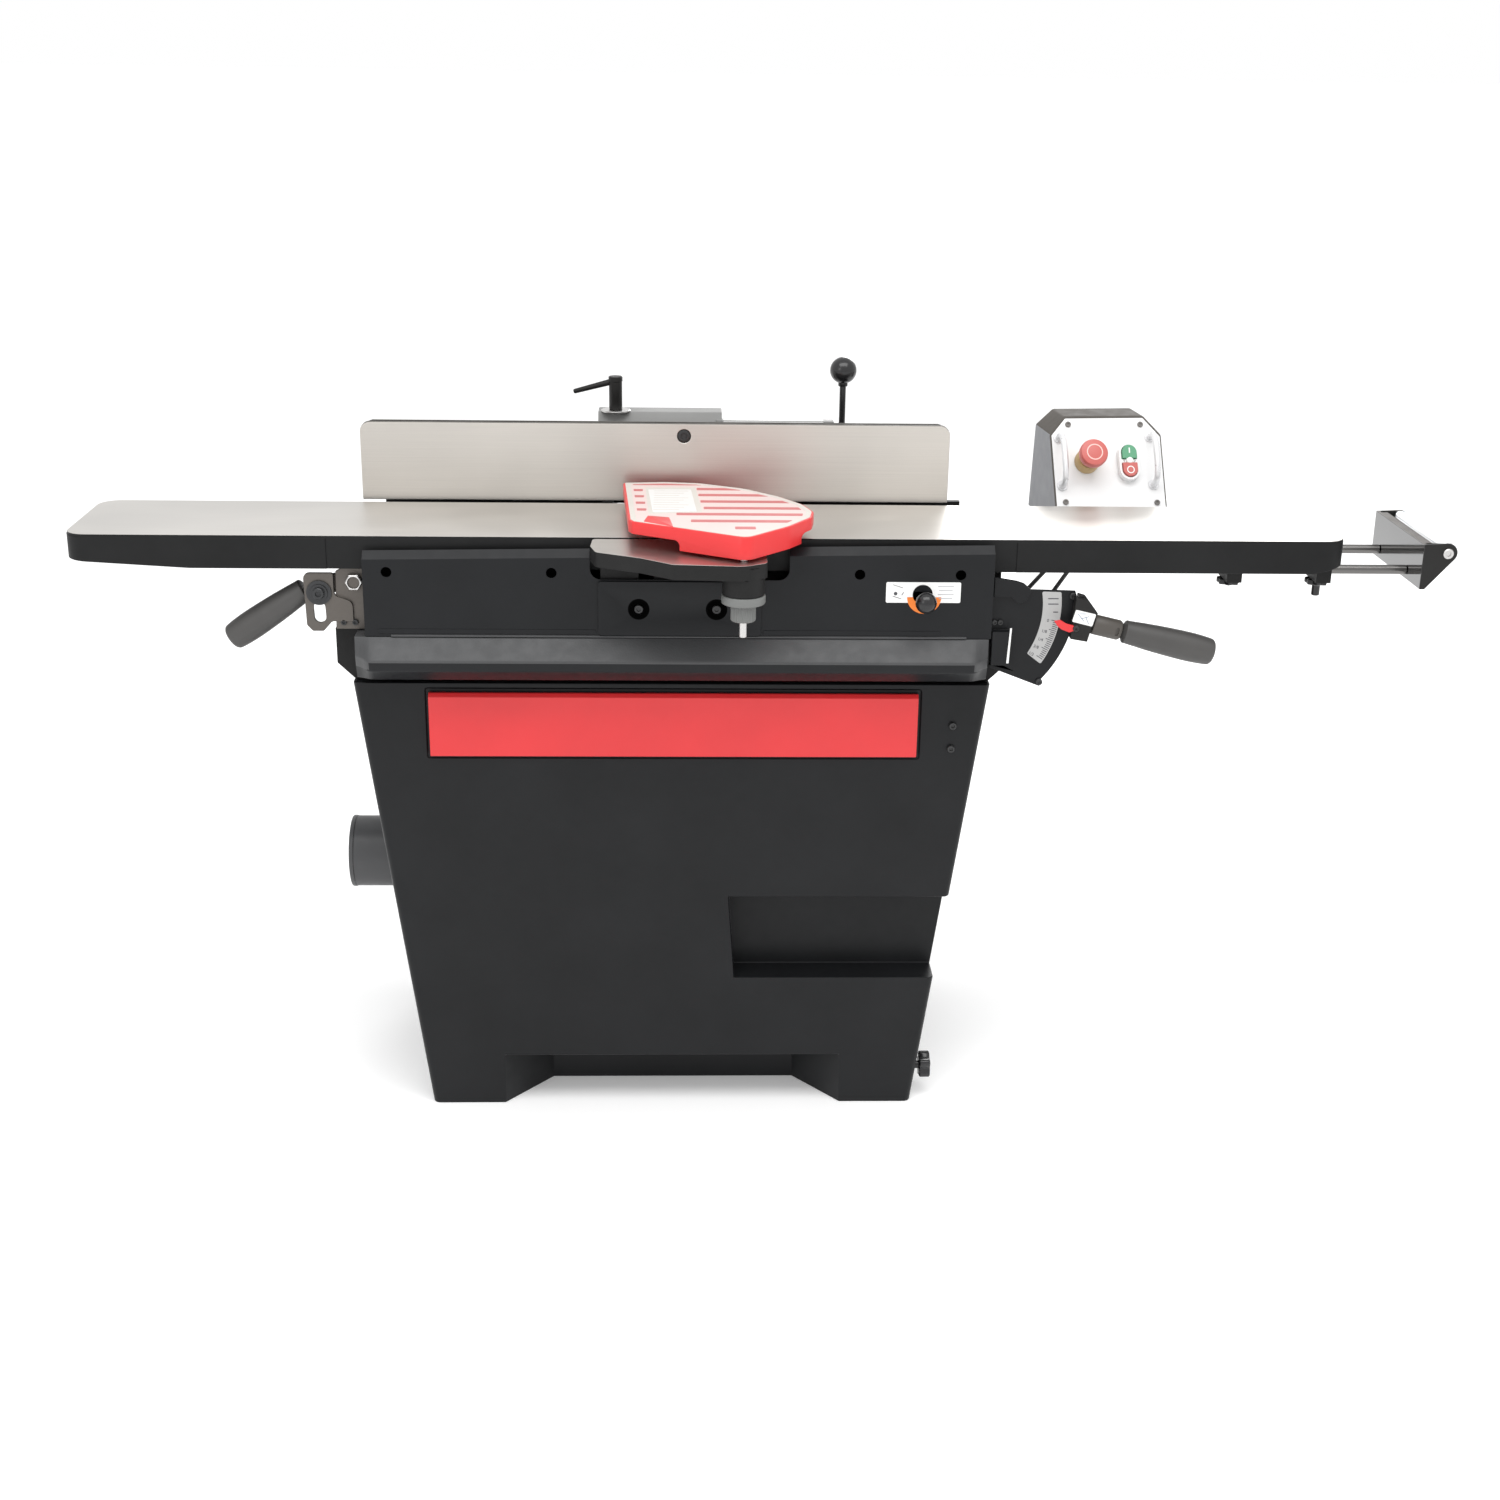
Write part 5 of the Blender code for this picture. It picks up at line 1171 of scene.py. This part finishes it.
stripes = [stripe(-0.0620, 0.0395, 0.1730, 0.0100)]
for k, y in enumerate((0.1350, 0.0970, 0.0580, 0.0185)):
    stripes.append(stripe(-0.0590 + 0.0027 * k, -0.0420 + 0.0022 * k, y, 0.0120))
for low_x, high_x, y in (
    (0.0310, 0.0910, 0.1440), (0.0330, 0.1360, 0.1070), (0.0355, 0.1575, 0.0680), (0.0395, 0.1670, 0.0295),
    (0.0040, 0.1680, -0.0060), (0.0225, 0.1520, -0.0440), (0.0780, 0.1040, -0.0810),
):
    stripes.append(stripe(low_x, high_x, y, 0.0130))
piece("guard_stripes", stripes, "guard_stripe", "guard")
piece("guard_label_frame", prism(LABEL_FRAME, "z", 0.8706, 0.8709), "guard_edge", "guard")
piece("guard_label", prism(LABEL, "z", 0.8709, 0.8712), "guard_label", "guard")
lines = []
for i in range(9):
    y = 0.130 - 0.0140 * i
    reach = 0.046 - 0.006 * (i % 3)
    lines.append(
        prism(rectangle((-0.0265, y - 0.0013), (-0.0265 + reach, y + 0.0013), 0.0005, 2), "z", 0.8712, 0.87128)
    )
piece("guard_label_lines", lines, "guard_edge", "guard")
boss = tube_of_rings(
    [
        [
            (-0.0399, -0.0516, 0.8700), (-0.0344, -0.0146, 0.8700), (-0.0038, -0.0236, 0.8700),
            (0.0021, -0.0824, 0.8700)
        ],
        [
            (-0.0370, -0.0500, 0.8714), (-0.0322, -0.0180, 0.8714), (-0.0062, -0.0262, 0.8714),
            (-0.0006, -0.0760, 0.8714)
        ],
    ]
)
piece("guard_boss", boss, "guard_red", "guard", bevel=0.0004)

# ---------------------------------------------------------------- fence

fence = combine(
    prism(
        rounded(
            [(-0.432, 0.8385), (0.383, 0.8385), (0.383, 0.9470), (-0.432, 0.9470)],
            [0.0, 0.0, 0.014, 0.014], 8
        ),
        "y", 0.2125, 0.2215
    ),
    [
        (
            "UNION",
            prism(
                [(0.2200, 0.9370), (0.2330, 0.9370), (0.2330, 0.9466), (0.2200, 0.9466)], "x", -0.418, 0.369
            )
        ),
        ("DIFFERENCE", rod((0.0137, 0.20, 0.9300), (0.0137, 0.2165, 0.9300), 0.0095)),
    ],
)
piece(
    "fence_plate", fence, ("fence", "grey_cast"), "fence", hides=("fence",), bevel=0.0010, segments=3,
    pick=lambda normal, middle: 1 if (middle.z > 0.9400 and normal.z > 0.5) or middle.y > 0.2180 else 0,
)
piece(
    "fence_screw", [socket_screw((0.0137, 0.2160, 0.9300), (0, -1, 0), 0.0086, 0.0028)], "screw", "fence",
    bevel=0.0003
)

carriage = combine(
    prism(
        [(0.3110, 0.8364), (0.3620, 0.8364), (0.3620, 0.9430), (0.3280, 0.9430), (0.3110, 0.9050)], "x",
        -0.109, 0.068
    ),
    [
        (
            "DIFFERENCE",
            prism(
                [(0.318, 0.82), (0.380, 0.82), (0.380, 0.930), (0.334, 0.930), (0.318, 0.898)], "x", -0.095,
                0.054
            )
        ),
        ("UNION", block((0.060, 0.3215, 0.8950), (0.2290, 0.3385, 0.9320))),
        ("DIFFERENCE", rod((0.20, 0.330, 0.912), (0.24, 0.330, 0.912), 0.0052)),
        ("UNION", rod((-0.055, *HINGE), (0.035, *HINGE), 0.0038)),
    ],
)
nose = arc(HINGE, 0.0050, 90, 270, 10) + [
    (0.3150, 0.8390), (0.3150, 0.8800), (0.2700, 0.8560), (0.2400, 0.8490)
]
carriage = plus(carriage, prism(nose, "x", -0.062, -0.036), prism(nose, "x", 0.016, 0.042))
piece(
    "carriage_casting", carriage, "carriage", "fence_carriage", hides=("fence_carriage",), bevel=0.0012,
    segments=2
)
washer = lathe(
    [(0.0095, 0.0), (0.0205, 0.0), (0.0210, 0.0006), (0.0210, 0.0018), (0.0200, 0.0025), (0.0095, 0.0025)],
    (-0.084, 0.330, 0.9430), (0, 0, 1), 40, True
)
piece("lock_washer", washer, "steel", "fence_carriage", bevel=0.0002)
strip = [prism(rectangle((0.0700, 0.3235), (0.2139, 0.3330), 0.001, 2), "z", 0.9320, 0.9324)]
strip.append(prism(rectangle((0.0700, 0.9200), (0.2139, 0.9312), 0.001, 2), "y", 0.3210, 0.3214))
piece("carriage_scale", strip, "label", "fence_carriage")
ticks = [
    prism(
        rectangle((0.0740 + 0.0065 * i, 0.3240), (0.0744 + 0.0065 * i, 0.3280 if i % 5 else 0.3310)),
        "z", 0.9324, 0.93248,
    )
    for i in range(21)
]
piece("carriage_scale_ticks", ticks, "ink_light", "fence_carriage")

post = [
    (0.0090, 0.0), (0.0094, 0.0010), (0.0094, 0.0395), (0.0100, 0.0400), (0.0100, 0.0462), (0.0092, 0.0470)
]
lock = plus(
    lathe(post, (-0.084, 0.330, 0.9458), (0, 0, 1)),
    lathe(
        [(0.0050, 0.0), (0.0044, 0.010), (0.0036, 0.050), (0.0034, 0.0600), (0.0024, 0.0620)],
        (-0.084, 0.330, 0.9865), (-0.0600, 0, -0.0160)
    ),
)
piece(
    "fence_lock", lock, "frame", "fence_lock", hides=("fence_lock_lever",), bevel=0.0003,
)
ball = [
    (0.019 * math.cos(math.radians(a)), 0.019 * math.sin(math.radians(a))) for a in range(-60, 90, 10)
] + [(0.0, 0.019)]
knob = [
    lathe(
        [(0.0105, 0.0), (0.0120, 0.0012), (0.0120, 0.0225), (0.0108, 0.0237)], (0.2293, 0.330, 0.912),
        (1, 0, 0)
    ),
    rod((0.2060, 0.330, 0.912), (0.2300, 0.330, 0.912), 0.0048),
    rod((0.2410, 0.330, 0.912), (0.2410, 0.330, 0.990), 0.0045),
    lathe(
        [(0.0062, -0.0225), (0.0068, -0.0215), (0.0068, -0.0175)] + ball, (0.2410, 0.330, 1.0040), (0, 0, 1)
    ),
]
piece("tilt_lock", knob, "black", "tilt_lock", hides=("tilt_lock_lever",))

# ---------------------------------------------------------------- roller extension

AXLE = (1.0175, 0.8255)
ear = [(0.985, 0.7765), (0.992, 0.7765)] + arc(AXLE, 0.0130, -45, 90, 16) + [(0.985, 0.837)]
extension = plus(
    prism([(0.0, 0.7765), (0.180, 0.7765), (0.180, 0.837), (0.0, 0.837)], "x", 0.985, 0.990),
    prism(ear, "y", -0.010, -0.005),
    prism(ear, "y", 0.185, 0.190),
    block((0.985, -0.0090, 0.7765), (0.990, 0.1890, 0.837)),
    block((0.986, 0.0, 0.8325), (0.9985, 0.1800, 0.837)),
)
piece(
    "extension_bracket", extension, ("frame", "mirror", "ferrule"), "roller_extension",
    hides=("extension_frame",),
    bevel=0.0010,
    pick=lambda normal, middle: 1 if normal.x < -0.9 else 2 if normal.z > 0.9 and middle.y > 0.0 else 0,
)
rods = [rod((0.600, y, 0.789), (0.9845, y, 0.789), 0.00635, 40, 0.0006) for y in (0.047, 0.160)]
piece("extension_rods", rods, "rod", "roller_extension")
ends = [
    socket_screw((AXLE[0], y, AXLE[1]), (0, way, 0), 0.0068, 0.0036) for y,
    way in ((-0.0095, -1), (0.1895, 1))
]
piece("extension_axle_ends", ends, "steel", "roller_extension")
ribs = [(2 * math.pi * k / 120, 0.0121 if k % 4 == 0 else 0.0125) for k in range(120)]
rings = [
    [(AXLE[0] + (r - trim) * math.cos(a), y, AXLE[1] + (r - trim) * math.sin(a)) for a, r in ribs]
    for y, trim in ((-0.0040, 0.0006), (-0.0034, 0.0), (0.1834, 0.0), (0.1840, 0.0006))
]
roller = less(tube_of_rings(rings), rod((AXLE[0], -0.02, AXLE[1]), (AXLE[0], 0.20, AXLE[1]), 0.0045))
piece(
    "roller_tube", roller, "chrome", "extension_roller", hides=("extension_roller",),
    angle=20
)

# ---------------------------------------------------------------- console

CONSOLE = Matrix.Translation((0.5472, 0.270, 0.8194)) @ Matrix.Rotation(math.radians(5.1), 4, "Z")
FACE = CONSOLE @ Matrix.Rotation(math.radians(60.0), 4, "X")
NORMAL = (FACE.to_3x3() @ Vector((0.0, 0.0, 1.0))).normalized()
LEAN = math.tan(math.radians(30.0))
UP = 1 / math.cos(math.radians(30.0))
ESTOP = (0.0510, 0.0685)
SWITCH = (0.1115, 0.0655)


def on_face(u, v, out=0.0):
    return FACE @ Vector((u, v, out))


def console_ring(depth_at):
    outline = [
        (0.0, -0.030), (0.1665, -0.030), (0.1665, 0.0930), (0.1415, 0.1188), (0.0235, 0.1188), (0.0, 0.0955)
    ]
    outline = rounded(outline, [0.0, 0.0, 0.006, 0.006, 0.006, 0.006], 4)
    return [(u, depth_at(z), z) for u, z in outline]


housing = tube_of_rings(
    [console_ring(lambda z: 0.0030 + z * LEAN), console_ring(lambda z: 0.1485 - 0.12 * z)], CONSOLE
)
piece(
    "console_shell", housing, (
        "console_side", "console_top"
    ), hides=("console_housing",), bevel=0.0012, segments=3,
    angle=30,
    pick=lambda normal, middle: 1 if normal.z > 0.35 and middle.z > 0.90 else 0,
)
plate = [(0.0028, -0.0290 * UP), (0.1637, -0.0290 * UP), (0.1637, 0.0918 * UP), (0.1400, 0.1165 * UP)]
plate += [(0.0245, 0.1165 * UP), (0.0028, 0.0945 * UP)]
plate = rounded(plate, [0.002, 0.002, 0.003, 0.003, 0.003, 0.003])
piece(
    "console_face_plate", prism(plate, "z", -0.0022, -0.0002, FACE), "console_white",
    hides=("console_face",), bevel=0.0004
)
screws = [
    socket_screw(on_face(u, v), NORMAL, 0.0042, 0.0022) for u,
    v in ((0.0280, 0.1252), (0.1355, 0.1242), (0.0158, 0.0084), (0.1511, 0.0059))
]
piece("console_screws", screws, "console_screw", bevel=0.0002)
for name, x in (("left", 0.0125), ("right", 0.1480)):
    way = [(x, 0.033, 0.0), (x, 0.0333, 0.011), (x, 0.0375, 0.020), (x, 0.050, 0.0258), (x, 0.069, 0.0272)]
    way += [(x, 0.088, 0.0258), (x, 0.1005, 0.020), (x, 0.1047, 0.011), (x, 0.105, 0.0)]
    handle = tube_path(
        smooth_path([FACE @ Vector(p) for p in way], 5), lambda t: 0.0044 + 0.0010 * abs(2 * t - 1) ** 3, 24
    )
    feet = [
        lathe([(0.0078, 0.0), (0.0078, 0.0012), (0.0066, 0.0022)], on_face(x, v), NORMAL, 32)
        for v in (0.033, 0.105)
    ]
    piece(
        f"console_grab_{name}", [handle] + feet, "silver", hides=(f"console_handle_{name}",),
    )

collar = [
    (0.0066, 0.0003), (0.0180, 0.0003), (0.0180, 0.0130), (0.0172, 0.0160), (0.0158, 0.0180),
    (0.0066, 0.0180)
]
piece(
    "stop_collar", lathe(collar, on_face(*ESTOP), NORMAL, 40, True), "yellow", hides=("estop_collar",),
    bevel=0.0003
)
head = [
    (0.0058, 0.0060), (0.0058, 0.0225), (0.0150, 0.0228), (0.0158, 0.0262), (0.0188, 0.0290),
    (0.0202, 0.0330)
]
head += [(0.0205, 0.0385), (0.0202, 0.0420), (0.0188, 0.0445), (0.0150, 0.0453), (0.0, 0.0455)]
piece(
    "stop_mushroom", lathe(
        head, on_face(*ESTOP), NORMAL, 48
    ), ("red_plastic", "red_dark"), "estop", hides=("estop_button",),
    pick=lambda normal, middle: 1 if (middle - on_face(*ESTOP)).dot(NORMAL) < 0.0300 else 0,
)
ring = lathe(
    [(0.0102, 0.0451), (0.0118, 0.0451), (0.0118, 0.0457), (0.0102, 0.0457)], on_face(*ESTOP), NORMAL, 40,
    True
)
piece("stop_mushroom_ring", ring, "ring", "estop")

pill = capsule((SWITCH[0], SWITCH[1] - 0.0128), (SWITCH[0], SWITCH[1] + 0.0128), 0.0150)


def half_pill(centre_y, reach, radius, top):
    sign = 1 if top else -1
    ring = arc((SWITCH[0], centre_y), radius, 0 if top else 180, 180 if top else 360, 16)
    return ring + [(ring[-1][0], centre_y - sign * reach), (ring[0][0], centre_y - sign * reach)]


body_shape = prism(pill, "z", 0.0003, 0.0120, FACE)
body_shape = less(
    body_shape,
    *[
        prism(half_pill(SWITCH[1] + s * 0.0128, 0.0100, 0.0112, s > 0), "z", 0.0060, 0.03, FACE)
        for s in (1, -1)
    ]
)
piece(
    "switch_surround", body_shape, "console_white", hides=("switch_body",), bevel=0.0012, segments=3,
)
for name, sign, finish in (("start", 1, "green"), ("stop", -1, "red_plastic")):
    centre = SWITCH[1] + sign * 0.0128
    cap = prism(half_pill(centre, 0.0096, 0.0107, sign > 0), "z", 0.0085, 0.0150, FACE)
    piece(
        f"{name}_cap", cap, finish, f"{name}_button", hides=(f"{name}_button",), bevel=0.0008,
    )
mark = prism(
    rectangle((SWITCH[0] - 0.0009, SWITCH[1] + 0.0110), (SWITCH[0] + 0.0009, SWITCH[1] + 0.0190), 0.0004, 2),
    "z", 0.0149, 0.0151, FACE
)
piece("start_mark", mark, "lamp", "start_button")
ring = lathe(
    [(0.0042, 0.0), (0.0056, 0.0), (0.0056, 0.0002), (0.0042, 0.0002)],
    on_face(SWITCH[0], SWITCH[1] - 0.0140, 0.0149), NORMAL, 32, True
)
piece("stop_mark", ring, "lamp", "stop_button")
lamp = lathe(
    [(0.0052, 0.0), (0.0052, 0.0030), (0.0040, 0.0042), (0.0, 0.0048)],
    on_face(SWITCH[0], SWITCH[1] + 0.0005, 0.0110), NORMAL, 32
)
piece("switch_lamp", lamp, "lamp")
wings = [
    prism(
        [
            (SWITCH[0] + s * 0.0068, SWITCH[1] - 0.0022), (SWITCH[0] + s * 0.0100, SWITCH[1] + 0.0003),
            (SWITCH[0] + s * 0.0068, SWITCH[1] + 0.0028)
        ],
        "z", 0.0118, 0.0123, FACE
    )
    for s in (1, -1)
]
piece("switch_arrows", wings, "label_grey")

# ---------------------------------------------------------------- knobs

star = []
for k in range(60):
    angle = 2 * math.pi * k / 60
    star.append((angle, 0.0168 + 0.0032 * math.cos(5 * angle)))
rings = [
    [(x, 0.045 + r * scale * math.cos(a), 0.0446 + r * scale * math.sin(a)) for a, r in star]
    for x, scale in ((0.3570, 0.90), (0.3585, 1.0), (0.3710, 1.0), (0.3726, 0.92), (0.3730, 0.80))
]
piece(
    "cabinet_star_knob",
    plus(tube_of_rings(rings), rod((0.3520, 0.045, 0.0446), (0.3600, 0.045, 0.0446), 0.0060)), "black",
    "cabinet_knob", hides=("cabinet_knob",), angle=40
)
for number, x in ((1, 0.7455), (2, 0.8652)):
    knob = fluted_knob(
        (x, 0.047, 0.7690), [(0.0148, 0.0), (0.0160, 0.0012), (0.0160, 0.0066), (0.0150, 0.0077)], 7, 0.0036
    )
    if number == 2:
        knob = plus(
            knob, lathe([(0.0045, 0.0), (0.0055, 0.0010), (0.0055, 0.0190)], (x, 0.047, 0.7530), (0, 0, 1))
        )
    piece(
        f"clamp_thumb_knob_{number}", knob, "black", f"extension_screw_{number}",
        hides=(f"extension_screw_{number}",), angle=40
    )

# ---------------------------------------------------------------- the nodes that stay

KEPT = {
    "chip_chute": "chute",
    "cutterhead": "steel",
    "bearing_front": "cast",
    "bearing_rear": "cast",
    "cutterhead_pulley": "aluminium",
    "motor_pulley": "aluminium",
    "motor_shaft": "steel",
    "motor": "motor",
    "motor_stand": "frame",
    "drive_belt": "rubber",
    "belt_guard": "paint",
    "infeed_second_link": "zinc",
    "outfeed_second_link": "zinc",
    "guard_post": "steel",
    "fence_tilt_bracket": "cast",
    "fence_support": "cast",
    "extension_clamp_1": "cast",
    "extension_clamp_2": "cast",
    "console_arm": "frame",
}
for name, finish in KEPT.items():
    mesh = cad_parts[name].data
    mesh.materials.clear()
    mesh.materials.append(look[finish])

# ---------------------------------------------------------------- floor, light and camera

floor_look = Nodes("studio_floor")
floor_look.put(
    "Base Color",
    floor_look.ramp(floor_look.noise(2.0, 2.0), [(0.3, (0.90, 0.90, 0.90)), (0.7, (0.93, 0.93, 0.93))])
)
floor_look.put("Roughness", 0.7)
floor_look.shader.inputs["Emission Color"].default_value = (1.0, 1.0, 1.0, 1.0)
floor_look.put("Emission Strength", 0.16)
floor_mesh = bpy.data.meshes.new("floor")
floor_mesh.from_pydata([(-30, -30, 0), (30, -30, 0), (30, 60, 0), (-30, 60, 0)], [], [(0, 1, 2, 3)])
floor_mesh.materials.append(floor_look.made)
floor = bpy.data.objects.new("floor", floor_mesh)
bpy.context.scene.collection.objects.link(floor)

world = bpy.data.worlds.new("studio")
world.use_nodes = True
world.node_tree.nodes["Background"].inputs["Color"].default_value = (1.0, 1.0, 1.0, 1.0)
world.node_tree.nodes["Background"].inputs["Strength"].default_value = 1.0
bpy.context.scene.world = world


def softbox(name, at, to, size, power):
    light = bpy.data.lights.new(name, "AREA")
    light.shape = "RECTANGLE"
    light.size, light.size_y = size
    light.energy = power
    made = bpy.data.objects.new(name, light)
    made.location = at
    made.rotation_euler = (Vector(to) - Vector(at)).to_track_quat("-Z", "Y").to_euler()
    bpy.context.scene.collection.objects.link(made)


softbox("overhead", (0.0, -1.35, 3.6), (0.0, -0.2, 0.6), (3.6, 1.6), 70.0)
softbox("front_left", (-2.6, -3.2, 2.4), (0.0, 0.0, 0.5), (1.6, 1.6), 14.0)
softbox("back_right", (1.1, 3.6, 1.9), (0.5, 0.0, 0.8), (1.6, 1.2), 38.0)

CAMERA_AT = SHIFT @ Vector((0.0097, -2.6039, 1.4725))
PITCH, YAW, ROLL = (math.radians(a) for a in (19.5859, 2.0668, 0.8409))
forward = Vector((math.sin(YAW) * math.cos(PITCH), math.cos(YAW) * math.cos(PITCH), -math.sin(PITCH)))
right = Vector((math.cos(YAW), -math.sin(YAW), 0.0))
up = right.cross(forward)
across = right * math.cos(ROLL) + up * math.sin(ROLL)
above = up * math.cos(ROLL) - right * math.sin(ROLL)
camera_data = bpy.data.cameras.new("camera")
camera_data.sensor_width = 36.0
camera_data.lens = 36.0 * 2049.29 / 1500.0
camera = bpy.data.objects.new("camera", camera_data)
turn = Matrix((across, above, -forward)).transposed().to_4x4()
camera.matrix_world = Matrix.Translation(CAMERA_AT) @ turn
bpy.context.scene.collection.objects.link(camera)
bpy.context.scene.camera = camera
bpy.context.scene.view_settings.view_transform = "Standard"
